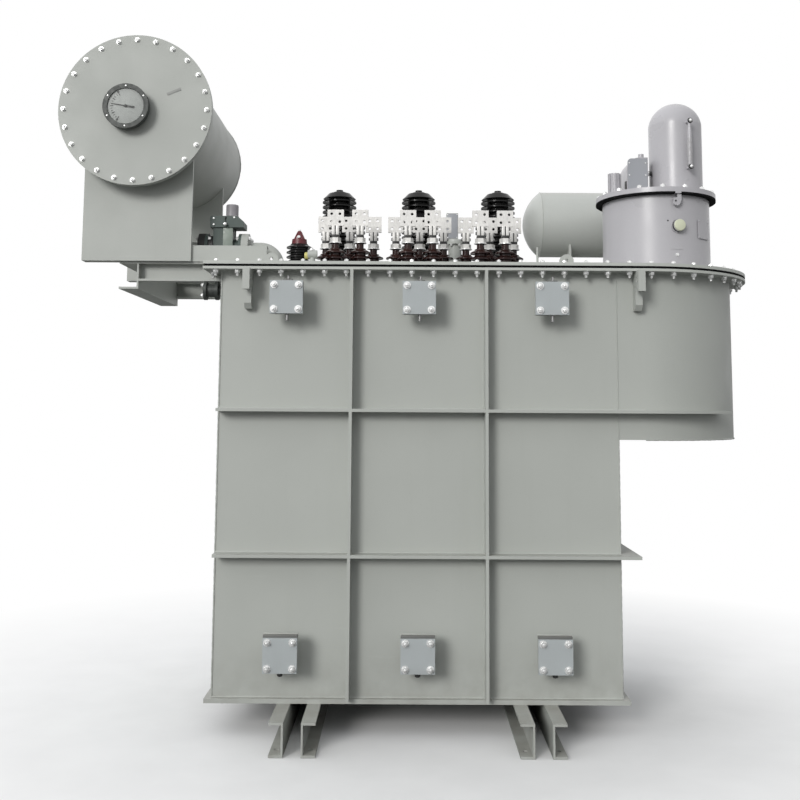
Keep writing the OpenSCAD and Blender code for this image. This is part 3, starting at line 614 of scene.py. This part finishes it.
SCALE_START, SCALE_STEP, TICKS, TICK_END = 119, 10.08, 13, 0.0715
LONG_TICK, SHORT_TICK = (0.0575, 0.0042), (0.0625, 0.0028)  # inner radius and width
END_MARKS, END_MARK = (119, 240), (0.0705, 0.081, 0.0095)  # inner and outer radius, width
NEEDLE = dict(angle=170, start=0.0, end=0.069, width=0.0062, y=NEEDLE_Y, taper=0.4)
COUNTERWEIGHT = dict(angle=-9, start=0.0, end=0.043, width=0.0085, y=NEEDLE_Y, taper=1.1)


def on_gauge(y):
    return facing(FRONT, Vector((GAUGE.x, y, GAUGE.z)))


def dial_bar(bm, angle, start, end, width, y=MARK_Y, taper=1.0):
    """Flat bar on the dial along a direction; the angle is from the right, upwards."""
    turn = shift(GAUGE.x, y, GAUGE.z) @ Matrix.Rotation(-math.radians(angle), 4, "Y")
    slab(bm, [(start, -width / 2), (end, -width * taper / 2), (end, width * taper / 2),
              (start, width / 2)], MARK_T, turn)


screws = bmesh.new()
for i in range(6):
    a = math.radians(30 + 60 * i)
    at = GAUGE + Vector((SCREW_CIRCLE * math.cos(a), 0, SCREW_CIRCLE * math.sin(a)))
    screw(screws, at, **GAUGE_SCREW)
piece("gauge_screws", screws, ZINC)
dial = bmesh.new()
lathe(dial, DIAL_PLATE, on_gauge(DIAL_Y), DIAL_SEGS)
piece("gauge_dial", dial, DIAL)
marks = bmesh.new()
for i in range(TICKS):
    start, width = SHORT_TICK if i % 3 else LONG_TICK
    dial_bar(marks, SCALE_START + SCALE_STEP * i, start, TICK_END, width)
for angle in END_MARKS:
    dial_bar(marks, angle, *END_MARK)
dial_bar(marks, **NEEDLE)
dial_bar(marks, **COUNTERWEIGHT)
lathe(marks, HUB, on_gauge(HUB_Y), 24)
piece("gauge_needle", marks, BLACK_AND_SHADE)
glass = bmesh.new()
lathe(glass, DIAL_GLASS, on_gauge(GLASS_Y), DIAL_SEGS)
piece("gauge_glass", glass, GLASS)

# Blanked radiator connections: four bolts each, with nuts behind the rear flange; the upper
# ones carry a pin on a dark pad above and a drain below, the lower ones a plug below and a dark
# band on top, painted as the shade on their top faces
STUB_X, STUB_Z = (-0.6, 0, 0.6), (0.368, 1.936)
STUBS = [(x, z) for x in STUB_X for z in STUB_Z]
STUB_WELD_R = 0.0445
BLANK_Y, BACK_FLANGE_Y, JOINT_Y = HALF_D + 0.132, HALF_D + 0.082, HALF_D + 0.107
BLANK_GRIP = 0.05
BLANK_BOLT = 0.055  # from the middle of the plate, each way
BLANK_SHANK_R = 0.0075
BLANK_HEAD = dict(across=0.0205, head=0.013, tail=0.006, wide=0.84)
BLANK_NUT = dict(across=0.0205, head=0.014)
PIN_PAD, LOW_SHADE_BAND, LOW_STRIP = (0.044, 0.026, 0.008), (0.15, 0.026, 0.0115), (0.153, 0.009, 0.0155)
UNDER = -0.074  # under side of the flanges, from the middle of the plate
PIN = [(0, 0), (0.006, 0), (0.006, 0.012), (0.0042, 0.0145), (0.0042, 0.018), (0, 0.0185)]
DRAIN = [(0, 0), (0.0085, 0), (0.0085, 0.004), (0.0065, 0.005), (0.0065, 0.025),
         (0.0085, 0.026), (0.0085, 0.03), (0.005, 0.031), (0, 0.031)]
PLUG = [(0, 0), (0.0125, 0), (0.0125, 0.014), (0.009, 0.018), (0, 0.018)]
bolts = bmesh.new()
shanks = bmesh.new()
fittings = bmesh.new()
bands = bmesh.new()
pins = bmesh.new()
plugs = bmesh.new()
for side in (-1, 1):
    for x, z in STUBS:
        for dz in (-BLANK_BOLT, BLANK_BOLT):
            for dx in (-BLANK_BOLT, BLANK_BOLT):
                at = Vector((x + dx, side * BLANK_Y, z + dz))
                rear = Vector((at.x, side * BACK_FLANGE_Y, at.z))
                bolt(bolts, at, (0, side, 0), **BLANK_HEAD)
                bolt(bolts, rear, (0, -side, 0), **BLANK_NUT)
                lathe(shanks, [(BLANK_SHANK_R, 0), (BLANK_SHANK_R, BLANK_GRIP)],
                      facing((0, side, 0), rear), 12)
        mid = Vector((x, side * JOINT_Y, z))
        if z > 1:
            block(bands, PIN_PAD, Matrix.Translation(mid + Vector((0.004, 0, 0.078))))
            lathe(pins, PIN, facing(UP, mid + Vector((0.006, 0, 0.081))), 14)
            lathe(pins, DRAIN, facing(DOWN, mid + Vector((0.003, 0, UNDER))), 16)
        else:
            lathe(plugs, PLUG, facing(DOWN, mid + Vector((0, 0, UNDER))), 16)
            # Painted shade: a dark band on the top face of the lower flanges
            block(bands, LOW_SHADE_BAND,
                  Matrix.Translation(mid + Vector((0, side * 0.004, 0.0803))))
            block(fittings, LOW_STRIP,
                  Matrix.Translation(mid + Vector((0, -side * 0.0135, 0.0823))))
piece("blank_bolts", bolts, ZINC)
piece("blank_shanks", shanks, STEEL)
piece("blank_fittings", fittings, MAT["tank_paint"])
piece("blank_pads_and_shade_bands", bands, PAD_AND_SHADE_PAINT)
piece("blank_pins", pins, STEEL)
piece("blank_plugs", plugs, BLACK_AND_SHADE)

# Low-voltage terminals: two clamp jaws each with cross bolts, dark bands between and under
# them, and a washer under the nut
GROUPS = (-1, 0, 1)
LV = [(LV_X + g * LV_PITCH + i * LV_STEP, LV_REAR_Y) for g in GROUPS for i in (-1, 0, 1)]
LV += [(LV_X + g * LV_PITCH + s * LV_STEP / 2, LV_FRONT_Y) for g in GROUPS for s in (-1, 1)]
JAW, JAW_X, JAW_Z = (0.0152, 0.041, 0.046), 0.0098, 0.0635
JAW_SIDE, JAW_BOLTS_Y, JAW_BOLTS_Z = 0.0174, -0.004, (0.052, 0.076)
JAW_BOLT = dict(across=0.0135, head=0.0055)
NUT_WASHER_R, NUT_WASHER_T = 0.0315, 0.004
GAP_BAND, FOOT_BAND, FOOT_Z = (0.0048, 0.0418, 0.045), (0.0368, 0.0436, 0.0132), 0.0341
jaws = bmesh.new()
bolts = bmesh.new()
dark = bmesh.new()
bands = bmesh.new()
for x, y in LV:
    base = Vector((x, y, LV_NUT_Z))
    washer(bolts, Matrix.Translation(base), NUT_WASHER_R, NUT_WASHER_T)
    for s in (-1, 1):
        block(jaws, JAW, Matrix.Translation(base + Vector((s * JAW_X, 0, JAW_Z))), 0.002)
        for z in JAW_BOLTS_Z:
            bolt(dark, base + Vector((s * JAW_SIDE, JAW_BOLTS_Y, z)), (s, 0, 0), **JAW_BOLT)
    block(bands, GAP_BAND, Matrix.Translation(base + Vector((0, 0, JAW_Z))), 0.0005)
    block(bands, FOOT_BAND, Matrix.Translation(base + Vector((0, 0, FOOT_Z))), 0.0012)
piece("clamp_jaws", jaws, MAT["terminal_metal"])
piece("terminal_washers", bolts, ZINC)
piece("clamp_bolts", dark, STEEL)
piece("clamp_bands", bands, BLACK_AND_SHADE)

# Neutral bushing: bright screws at the top and on the front of the red cap
cap_lo, cap_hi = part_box("neutral_cap")
NEUTRAL = Vector((cap_lo[0] + cap_hi[0], cap_lo[1] + cap_hi[1], 0)) / 2
CAP_TOP = cap_hi[2]
TOP_SCREW = dict(across=0.012, head=0.006, with_washer=False)
FRONT_SCREW, FRONT_SCREW_WAY = dict(across=0.015, head=0.007), (0, -0.85, 0.5)
bolts = bmesh.new()
bolt(bolts, Vector((NEUTRAL.x, NEUTRAL.y, CAP_TOP - 0.001)), UP, **TOP_SCREW)
bolt(bolts, Vector((NEUTRAL.x - 0.001, NEUTRAL.y - 0.021, CAP_TOP - 0.036)), FRONT_SCREW_WAY,
     **FRONT_SCREW)
piece("neutral_screws", bolts, ZINC)

# Gas relay: pale windows, drain balls, head and flange bolts, dark sleeves, cable conduit
WINDOW, WINDOW_X, WINDOW_Z = (0.048, 0.003, 0.108), -0.936, 2.262
WINDOW_OUT, HEAD_OUT = 0.0487, 0.0576  # faces of the relay, from its middle
BALL_X, BALL_Z = -0.948, 2.331
BALL = [(0, 0), (0.004, 0), (0.004, 0.004), (0.0085, 0.008), (0.0098, 0.013), (0.0085, 0.018),
        (0.005, 0.0215), (0, 0.0225)]
HEAD_BOLT = dict(across=0.009, head=0.004, with_washer=False)
RELAY_BOLT = dict(across=0.0185, head=0.009, tail=0.004)
HEAD_BOLTS = ((-1.006, 2.362), (-1.006, 2.331), (-0.905, 2.366))
RELAY_CIRCLE = 0.052
RELAY_FACES = ((-1.0816, LEFT), (-1.0336, RIGHT), (-0.8844, LEFT), (-0.8364, RIGHT))
SLEEVES = ((-1.0818, -1.0478, 0.0676), (-1.0336, -1.0105, 0.056))  # ends and radius
WIRE_R, WIRE = 0.0028, ((0.0595, 2.371), (0.0612, 2.36), (0.0612, 2.343))
CONDUIT_X = -0.9252
CONDUIT_FOOT = [(0.026, 2.3735), (0.0335, 2.3735), (0.0335, 2.379), (0.0305, 2.382)]
CONDUIT_RINGS = [(0.0302 + 0.0006 * (i % 2), 2.386 + 0.006 * i) for i in range(8)]
CONDUIT_END = [(0.0296, 2.4362), (0.0275, 2.4378), (0, 2.4378)]
window = bmesh.new()
for side in (-1, 1):
    block(window, WINDOW, shift(WINDOW_X, RELAY_Y + side * WINDOW_OUT, WINDOW_Z), 0.0008)
piece("relay_window", window, RELAY_WINDOW)
bolts = bmesh.new()
for side in (-1, 1):
    lathe(bolts, BALL,
          facing((0, side, 0), Vector((BALL_X, RELAY_Y + side * HEAD_OUT, BALL_Z))), 18)
    for x, z in HEAD_BOLTS:
        bolt(bolts, Vector((x, RELAY_Y + side * HEAD_OUT, z)), (0, side, 0), **HEAD_BOLT)
for i in range(4):
    a = math.radians(45 + 90 * i)
    off = Vector((0, RELAY_CIRCLE * math.cos(a), RELAY_CIRCLE * math.sin(a)))
    for x, way in RELAY_FACES:
        bolt(bolts, Vector((x, RELAY_Y, RELAY_Z)) + off, way, **RELAY_BOLT)
piece("relay_bolts", bolts, ZINC)
sleeves = bmesh.new()
for x0, x1, r in SLEEVES:
    lathe(sleeves, [(r * 0.6, 0), (r, 0), (r, x1 - x0), (r * 0.6, x1 - x0)],
          facing(RIGHT, Vector((x0, RELAY_Y, RELAY_Z))), 40)
sweep(sleeves, [(BALL_X, RELAY_Y - out, z) for out, z in WIRE], WIRE_R, 8)
piece("relay_sleeves", sleeves, BLACK_AND_SHADE)
conduit = bmesh.new()
lathe(conduit, CONDUIT_FOOT + CONDUIT_RINGS + CONDUIT_END, shift(CONDUIT_X, RELAY_Y, 0), 36)
piece("relay_conduit", conduit, CONDUIT)

# Vent box: bolts under its flange and a cover plate with screws on the front
VENT, VENT_CIRCLE = Vector((0.206, 0.25, 2.3235)), 0.0445
VENT_BOLT = dict(across=0.013, head=0.008, tail=0.004)
VENT_SCREWS_X, VENT_SCREWS_Z, VENT_SCREWS_Y = (0.165, 0.216), (2.358, 2.484), 0.2068
VENT_SCREW = dict(r=0.0032, edge=0.001, shoulder=(0.0018, 0.0022), height=0.0024, segs=12)
VENT_PLATE, VENT_PLATE_AT = (0.057, 0.002, 0.136), (0.1905, 0.2076, 2.421)
bolts = bmesh.new()
for i in range(6):
    at = VENT + outward(30 + 60 * i) * VENT_CIRCLE
    bolt(bolts, at, DOWN, **VENT_BOLT)
for x in VENT_SCREWS_X:
    for z in VENT_SCREWS_Z:
        screw(bolts, Vector((x, VENT_SCREWS_Y, z)), **VENT_SCREW)
piece("vent_bolts", bolts, ZINC)
plate = bmesh.new()
block(plate, VENT_PLATE, shift(*VENT_PLATE_AT), 0.0006)
piece("vent_plate", plate, BOX_FRONT)

# Tap changer: flange and lid bolts, a black disc painted as the shade in a small hole, plug cap
# with a dark collar, a black ring under the lid painted as the shade under its overhang, with a
# gap at the lug, bare plates on the drum; angles in degrees from the front
DRUM_CIRCLE = 0.285
FOOT_BOLTS, FOOT_TURN = 24, -0.7
LID_BOLTS, LID_TURN = 16, -6.2
FLANGE_BOLT = dict(across=0.0205, head=0.0105, tail=0.004)
SMALL_BOLT_AT, SMALL_BOLT = (8.2, 2.191), dict(across=0.0125, head=0.006)
HOLE_SHADE_AT, HOLE_SHADE_DISC = (-1.1, 2.359), [(0, 0), (0.0042, 0), (0.0042, 0.0008), (0, 0.0008)]
PLUG_AT = (9.5, 2.334)
COLLAR = [(0.0305, 0), (0.0317, 0), (0.0317, 0.0125), (0.0305, 0.0125)]
CAP = [(0, 0), (0.0285, 0), (0.0285, 0.006), (0.026, 0.0095), (0.012, 0.0115), (0, 0.012)]
SHADE_RING_R, SHADE_RING_START, SHADE_RING_END = 0.3007, 11, 365
SHADE_RING_LOW, SHADE_RING_HIGH = LID - 0.018, LID - 0.0085
STRIP_PLATE = (1.6, 14.2, 2.218, 2.237)  # start, end, low, high
BARE_PLATE = (34.5, 55, 2.28, 2.374)
RIVETS_TURN, RIVETS_Z = (36.5, 53), (2.288, 2.366)
RIVET = [(0, 0), (0.005, 0), (0.005, 0.0075), (0.0025, 0.009), (0, 0.009)]


def on_drum(at, out):
    """Place on the drum's side at an (angle, height), facing away from its axis."""
    return facing(outward(at[0]), on_post(DRUM, DRUM_R + out, *at))


bolts = bmesh.new()
for i in range(FOOT_BOLTS):
    at = on_post(DRUM, DRUM_CIRCLE, 15 * i + FOOT_TURN, TOP + DRUM_FLANGE_T)
    bolt(bolts, at, UP, **FLANGE_BOLT)
for i in range(LID_BOLTS):
    at = on_post(DRUM, DRUM_CIRCLE, 22.5 * i + LID_TURN, LID_TOP)
    bolt(bolts, at, UP, **FLANGE_BOLT)
bolt(bolts, on_post(DRUM, DRUM_R, *SMALL_BOLT_AT), outward(SMALL_BOLT_AT[0]), **SMALL_BOLT)
piece("drum_bolts", bolts, ZINC)
hole_shade_and_collar = bmesh.new()
# Painted shade: a thin black disc stands for the shade inside the small hole; the collar round the
# plug's neck goes in the same piece
lathe(hole_shade_and_collar, HOLE_SHADE_DISC, on_drum(HOLE_SHADE_AT, -0.0002), 14)
lathe(hole_shade_and_collar, COLLAR, on_drum(PLUG_AT, 0.0075), 32)
piece("drum_hole_shade_and_collar", hole_shade_and_collar, BLACK_AND_SHADE)
ring = bmesh.new()
# Painted shade: a black ring under the lid's overhang, in the gasket rubber, with a gap at the lug
curved_plate(ring, DRUM, DRUM_R - 0.001, SHADE_RING_R, SHADE_RING_START, SHADE_RING_END,
             SHADE_RING_LOW, SHADE_RING_HIGH, 180)
piece("lid_painted_shade_ring", ring, MAT["gasket_rubber"])
plug = bmesh.new()
lathe(plug, CAP, on_drum(PLUG_AT, 0.0218), 32)
piece("plug_cap", plug, PLUG_CAP)
plates = bmesh.new()
curved_plate(plates, DRUM, DRUM_R - 0.001, DRUM_R + 0.0016, *STRIP_PLATE)
curved_plate(plates, DRUM, DRUM_R + 0.004, DRUM_R + 0.0062, *BARE_PLATE)
for a in RIVETS_TURN:
    for z in RIVETS_Z:
        lathe(plates, RIVET, on_drum((a, z), -0.001), 12)
piece("drum_plates", plates, MAT["tap_changer_paint"])

# Dome: seam bead, handle grip, rings and stud ends
HANDLE_TURN, HANDLE_R, HANDLE_FACE = 10, 0.170, 0.1788
HANDLE = on_post(DOME, HANDLE_R, HANDLE_TURN, 0)
HANDLE_ENDS = (2.6525, 2.8885)
HANDLE_RING_R, HANDLE_RING_T = 0.0135, 0.004
DOME_BEAD = 0.005
GRIP_PROFILE = [(0.0112, 2.6555), (0.0132, 2.6585), (0.0138, 2.7185), (0.0136, 2.7885),
                (0.012, 2.7985), (0.0116, 2.8005)]
STUD_END = [(0, 0), (0.0085, 0), (0.0085, 0.005), (0.0062, 0.0085), (0.003, 0.0102), (0, 0.0106)]
seam = bmesh.new()
sweep(seam, ring_line(DOME, DOME_R, 90, z=LID_TOP), DOME_BEAD, 6, 0.12, True)
piece("dome_weld", seam, MAT["tap_changer_paint"])
grip = bmesh.new()
lathe(grip, GRIP_PROFILE, Matrix.Translation(HANDLE), 28)
piece("handle_grip", grip, GRIP)
rings = bmesh.new()
bolts = bmesh.new()
way = outward(HANDLE_TURN)
for z in HANDLE_ENDS:
    at = on_post(DOME, HANDLE_FACE, HANDLE_TURN, z)
    washer(rings, facing(way, at), HANDLE_RING_R, HANDLE_RING_T)
    lathe(bolts, STUD_END, facing(way, at + way * 0.0035), 20)
piece("handle_rings", rings, BLACK_AND_SHADE)
piece("handle_studs", bolts, ZINC)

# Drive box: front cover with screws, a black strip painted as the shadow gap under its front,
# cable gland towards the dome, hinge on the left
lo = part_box("drive_box")[0]
x0, x1, z0, z1 = lo[0] + 0.004, lo[0] + 0.104, LID_TOP + 0.014, LID_TOP + 0.188
COVER_FACE = lo[1] - 0.0022
CORNER_R, CORNER_STEPS = 0.02, 6
GLAND_Y, GLAND_Z = -0.1, 2.645
GLAND_NUT_ACROSS, GLAND_NUT_T = 0.026, 0.008
BOX_SCREW = dict(r=0.004, edge=0.0014, shoulder=(0.0022, 0.003), height=0.0032, segs=12)
BOX_GAP_SHADE, BOX_HINGE = (0.074, 0.012, 0.008), (0.007, 0.022, 0.046)
GLAND = [(0, 0), (0.014, 0), (0.014, 0.009), (0.012, 0.0095), (0.012, 0.03), (0, 0.031)]
quarter = [math.pi / 2 * i / CORNER_STEPS for i in range(CORNER_STEPS + 1)]
corner = [(x0 + CORNER_R - CORNER_R * math.cos(a), z1 - CORNER_R + CORNER_R * math.sin(a))
          for a in quarter]
cover = bmesh.new()
slab(cover, [(x1, z0), (x1, z1)] + corner[::-1] + [(x0, z0)], 0.004, shift(0, COVER_FACE, 0))
piece("box_cover", cover, BOX_FRONT)
bolts = bmesh.new()
for x in (x0 + 0.009, x1 - 0.009):
    for z in (z0 + 0.01, (z0 + z1) / 2, z1 - 0.024):
        screw(bolts, Vector((x, COVER_FACE, z)), **BOX_SCREW)
hex_head(bolts, facing(RIGHT, Vector((x1 + 0.0135, GLAND_Y, GLAND_Z))),
         GLAND_NUT_ACROSS, GLAND_NUT_T)
piece("box_screws", bolts, ZINC)
dark = bmesh.new()
# Painted shadow: a thin black strip stands for the shadow gap between the box and the lid
block(dark, BOX_GAP_SHADE, shift(lo[0] + 0.052, lo[1] + 0.002, LID_TOP + 0.0045), 0.001)
block(dark, BOX_HINGE, shift(lo[0] - 0.002, lo[1] + 0.024, LID_TOP + 0.05), 0.0015)
lathe(dark, GLAND, facing(RIGHT, Vector((x1 + 0.004, GLAND_Y, GLAND_Z))), 20)
piece("box_fittings_and_gap_shade", dark, BLACK_AND_SHADE)

# Small valve on the cover and the valve on the left end
VALVE_X, VALVE_Y = -0.507, -0.47
END_VALVE = Vector((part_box("side_valve")[0][0], -0.45, 1.987))
END_VALVE_CIRCLE = 0.034
END_VALVE_BOLT = dict(across=0.016, head=0.008, tail=0.004)
VALVE_CAP_AT = Vector((-0.5235, VALVE_Y, 2.154))
VALVE_CAP = [(0, 0), (0.0165, 0), (0.0172, 0.004), (0.0165, 0.013), (0.0125, 0.0175), (0, 0.0185)]
BONNET = [(0, 0), (0.0135, 0), (0.0135, 0.006), (0.009, 0.0085), (0, 0.009)]
BONNET_Z, BONNET_BOLT_Z = 2.178, 2.1865
BONNET_BOLT = dict(across=0.012, head=0.005, with_washer=False)
cap = bmesh.new()
lathe(cap, VALVE_CAP, facing(LEFT, VALVE_CAP_AT), 22)
piece("valve_cap", cap, YELLOW)
nub = bmesh.new()
lathe(nub, BONNET, facing(UP, Vector((VALVE_X, VALVE_Y, BONNET_Z))), 20)
bolt(nub, Vector((VALVE_X, VALVE_Y, BONNET_BOLT_Z)), UP, **BONNET_BOLT)
for i in range(4):
    a = math.radians(45 + 90 * i)
    off = Vector((0, END_VALVE_CIRCLE * math.cos(a), END_VALVE_CIRCLE * math.sin(a)))
    bolt(nub, END_VALVE + off, LEFT, **END_VALVE_BOLT)
piece("valve_bolts", nub, ZINC)

# Weld beads: radii and ripple, with a point every step
STEP, BEAD_SEGS, RIPPLE = 0.012, 6, 0.12
RIB_BEAD, SEAM_BEAD, CORNER_BEAD = 0.0045, 0.005, 0.004
BAY_BEAD, BAY_RIPPLE = 0.0032, 0.15
SMALL_BEAD, SMALL_RING_R, SMALL_HALF = 0.0022, 0.1815, 0.28
BAY_POINTS, CONS_POINTS, SMALL_POINTS, STUB_POINTS = 140, 140, 90, 28
beads = bmesh.new()


def straight(start, end, radius, ripple=RIPPLE):
    sweep(beads, path([start, end], STEP), radius, BEAD_SEGS, ripple)


def round_bead(line, radius):
    sweep(beads, line, radius, BEAD_SEGS, RIPPLE, True)


for side in (-1, 1):
    y = side * HALF_D
    for x in (-UPRIGHT, UPRIGHT):
        for s in (-1, 1):
            edge = x + s * RIB_T / 2
            straight((edge, y, WALL_Z), (edge, y, FLANGE), RIB_BEAD)
    for z, end in ((LOW_Z, HALF_W), (HIGH_Z, BAY_X)):
        for up in (0, RIB_T):
            straight((-HALF_W, y, z + up), (end, y, z + up), RIB_BEAD)
    straight((-HALF_W, y, WALL_Z), (HALF_W, y, WALL_Z), SEAM_BEAD)
    straight((-HALF_W, y, FLANGE), (BAY_X, y, FLANGE), SEAM_BEAD)
    straight((HALF_W, y, BAY_Z), (HALF_W, y, FLANGE), BAY_BEAD, BAY_RIPPLE)
    for x, z in ((-HALF_W, FLANGE), (HALF_W, BAY_Z)):
        straight((x, y, WALL_Z), (x, y, z), CORNER_BEAD)
for x in (-HALF_W, HALF_W):
    straight((x, -HALF_D, WALL_Z), (x, HALF_D, WALL_Z), SEAM_BEAD)
for z, radius in ((FLANGE, SEAM_BEAD), (BAY_Z, CORNER_BEAD)):
    sweep(beads, arc((BAY_X, 0), HALF_D, -90, 90, BAY_POINTS, z), radius, BEAD_SEGS, RIPPLE)
straight((HALF_W, -HALF_D, BAY_Z), (HALF_W, HALF_D, BAY_Z), SEAM_BEAD)
for x, z in STUBS:
    for side in (-1, 1):
        round_bead(ring_line((x, 0, z), STUB_WELD_R, STUB_POINTS, y=side * HALF_D), SEAM_BEAD)
for y in (COVER_Y + CONS_RIM_T, REAR_Y):
    round_bead(ring_line(CONS, CONS_R - 0.0005, CONS_POINTS, y=y), SEAM_BEAD)
for x in (SMALL.x - SMALL_HALF, SMALL.x + SMALL_HALF):
    round_bead(ring_line(SMALL, SMALL_RING_R, SMALL_POINTS, x=x), SMALL_BEAD)
piece("weld_beads", beads, BEAD)

# Light levels: the key's strength, width, colour and where it comes from, and the sky's share
# at the horizon and overhead, to the left and right, and in front and behind
KEY_STRENGTH = 1.84
KEY_FROM = (-0.55, -1.0, 0.43)
KEY_WIDTH = math.radians(20)
KEY_COLOUR = (1, 0.99, 0.97)
SKY_LOW, SKY_HIGH = 0.92, 0.86
SKY_LEFT, SKY_RIGHT = 1.38, 0.42
SKY_FRONT, SKY_BACK = 0.9, 1.5
SKY_COLOUR = (0.97, 0.985, 1.0, 1)
FLOOR_BOUNCE = (0.18, 0.18, 0.175)
FLOOR_TONES = (0.74, 0.74, 0.74), (0.78, 0.78, 0.78)
FADE_START, FADE_END = 1.3, 3.6  # metres from the middle, where the floor turns white
FLOOR_HALF, FLOOR_Z = 40, -0.001

# Floor: pale to the camera, darker to bounced light, white towards the backdrop
floor_mat = bpy.data.materials.new("floor")
floor_mat.use_nodes = True
ft = floor_mat.node_tree
ft.nodes.clear()
f_out = ft.nodes.new("ShaderNodeOutputMaterial")
f_mix = ft.nodes.new("ShaderNodeMixShader")
f_diff = ft.nodes.new("ShaderNodeBsdfDiffuse")
f_emit = ft.nodes.new("ShaderNodeEmission")
f_path = ft.nodes.new("ShaderNodeLightPath")
f_coord = ft.nodes.new("ShaderNodeTexCoord")
f_len = ft.nodes.new("ShaderNodeVectorMath")
f_len.operation = "LENGTH"
f_seen = f_path.outputs["Is Camera Ray"]
f_tone = mix(ft, ramp(ft, noise(ft, 3.0, 3), *MID, 0, 1), *FLOOR_TONES)
ft.links.new(mix(ft, f_seen, FLOOR_BOUNCE, f_tone), f_diff.inputs["Color"])
ft.links.new(f_coord.outputs["Object"], f_len.inputs[0])
far = ramp(ft, f_len.outputs["Value"], FADE_START, FADE_END, 0, 1)
ft.links.new(times(ft, far, f_seen), f_mix.inputs[0])
ft.links.new(f_diff.outputs[0], f_mix.inputs[1])
ft.links.new(f_emit.outputs[0], f_mix.inputs[2])
ft.links.new(f_mix.outputs[0], f_out.inputs["Surface"])
floor_mesh = bpy.data.meshes.new("floor")
floor_mesh.from_pydata([(-FLOOR_HALF, -FLOOR_HALF, 0), (FLOOR_HALF, -FLOOR_HALF, 0),
                        (FLOOR_HALF, FLOOR_HALF, 0), (-FLOOR_HALF, FLOOR_HALF, 0)],
                       [], [(0, 1, 2, 3)])
floor_mesh.materials.append(floor_mat)
floor = bpy.data.objects.new("floor", floor_mesh)
floor.location.z = FLOOR_Z
scene.collection.objects.link(floor)

# Studio: white backdrop to the camera and to gloss, a sky for the soft light, and one broad key
# from the front and upper left
world = bpy.data.worlds.new("studio")
scene.world = world
world.use_nodes = True
wt = world.node_tree
wt.nodes.clear()
w_out = wt.nodes.new("ShaderNodeOutputWorld")
w_mix = wt.nodes.new("ShaderNodeMixShader")
w_light = wt.nodes.new("ShaderNodeBackground")
w_white = wt.nodes.new("ShaderNodeBackground")
w_path = wt.nodes.new("ShaderNodeLightPath")
w_seen = wt.nodes.new("ShaderNodeMath")
w_seen2 = wt.nodes.new("ShaderNodeMath")
w_seen.operation = w_seen2.operation = "MAXIMUM"
w_light.inputs["Color"].default_value = SKY_COLOUR
w_up = upright(wt, "ShaderNodeTexCoord", "Generated")
w_side, w_depth = w_up.node.outputs["X"], w_up.node.outputs["Y"]
w_level = times(wt, ramp(wt, w_up, 0, 1, SKY_LOW, SKY_HIGH),
                ramp(wt, w_side, -1, 1, SKY_LEFT, SKY_RIGHT))
w_level = times(wt, w_level, ramp(wt, w_depth, -1, 1, SKY_FRONT, SKY_BACK))
wt.links.new(w_level, w_light.inputs["Strength"])
w_white.inputs["Color"].default_value = (1, 1, 1, 1)
w_white.inputs["Strength"].default_value = 1.0
wt.links.new(w_path.outputs["Is Camera Ray"], w_seen.inputs[0])
wt.links.new(w_path.outputs["Is Glossy Ray"], w_seen.inputs[1])
wt.links.new(w_seen.outputs[0], w_seen2.inputs[0])
wt.links.new(w_path.outputs["Is Transmission Ray"], w_seen2.inputs[1])
wt.links.new(w_seen2.outputs[0], w_mix.inputs[0])
wt.links.new(w_light.outputs[0], w_mix.inputs[1])
wt.links.new(w_white.outputs[0], w_mix.inputs[2])
wt.links.new(w_mix.outputs[0], w_out.inputs["Surface"])

key_data = bpy.data.lights.new("key", "SUN")
key_data.energy = KEY_STRENGTH
key_data.angle = KEY_WIDTH
key_data.color = KEY_COLOUR
key = bpy.data.objects.new("key", key_data)
key.rotation_euler = (-Vector(KEY_FROM)).to_track_quat("-Z", "Y").to_euler()
scene.collection.objects.link(key)
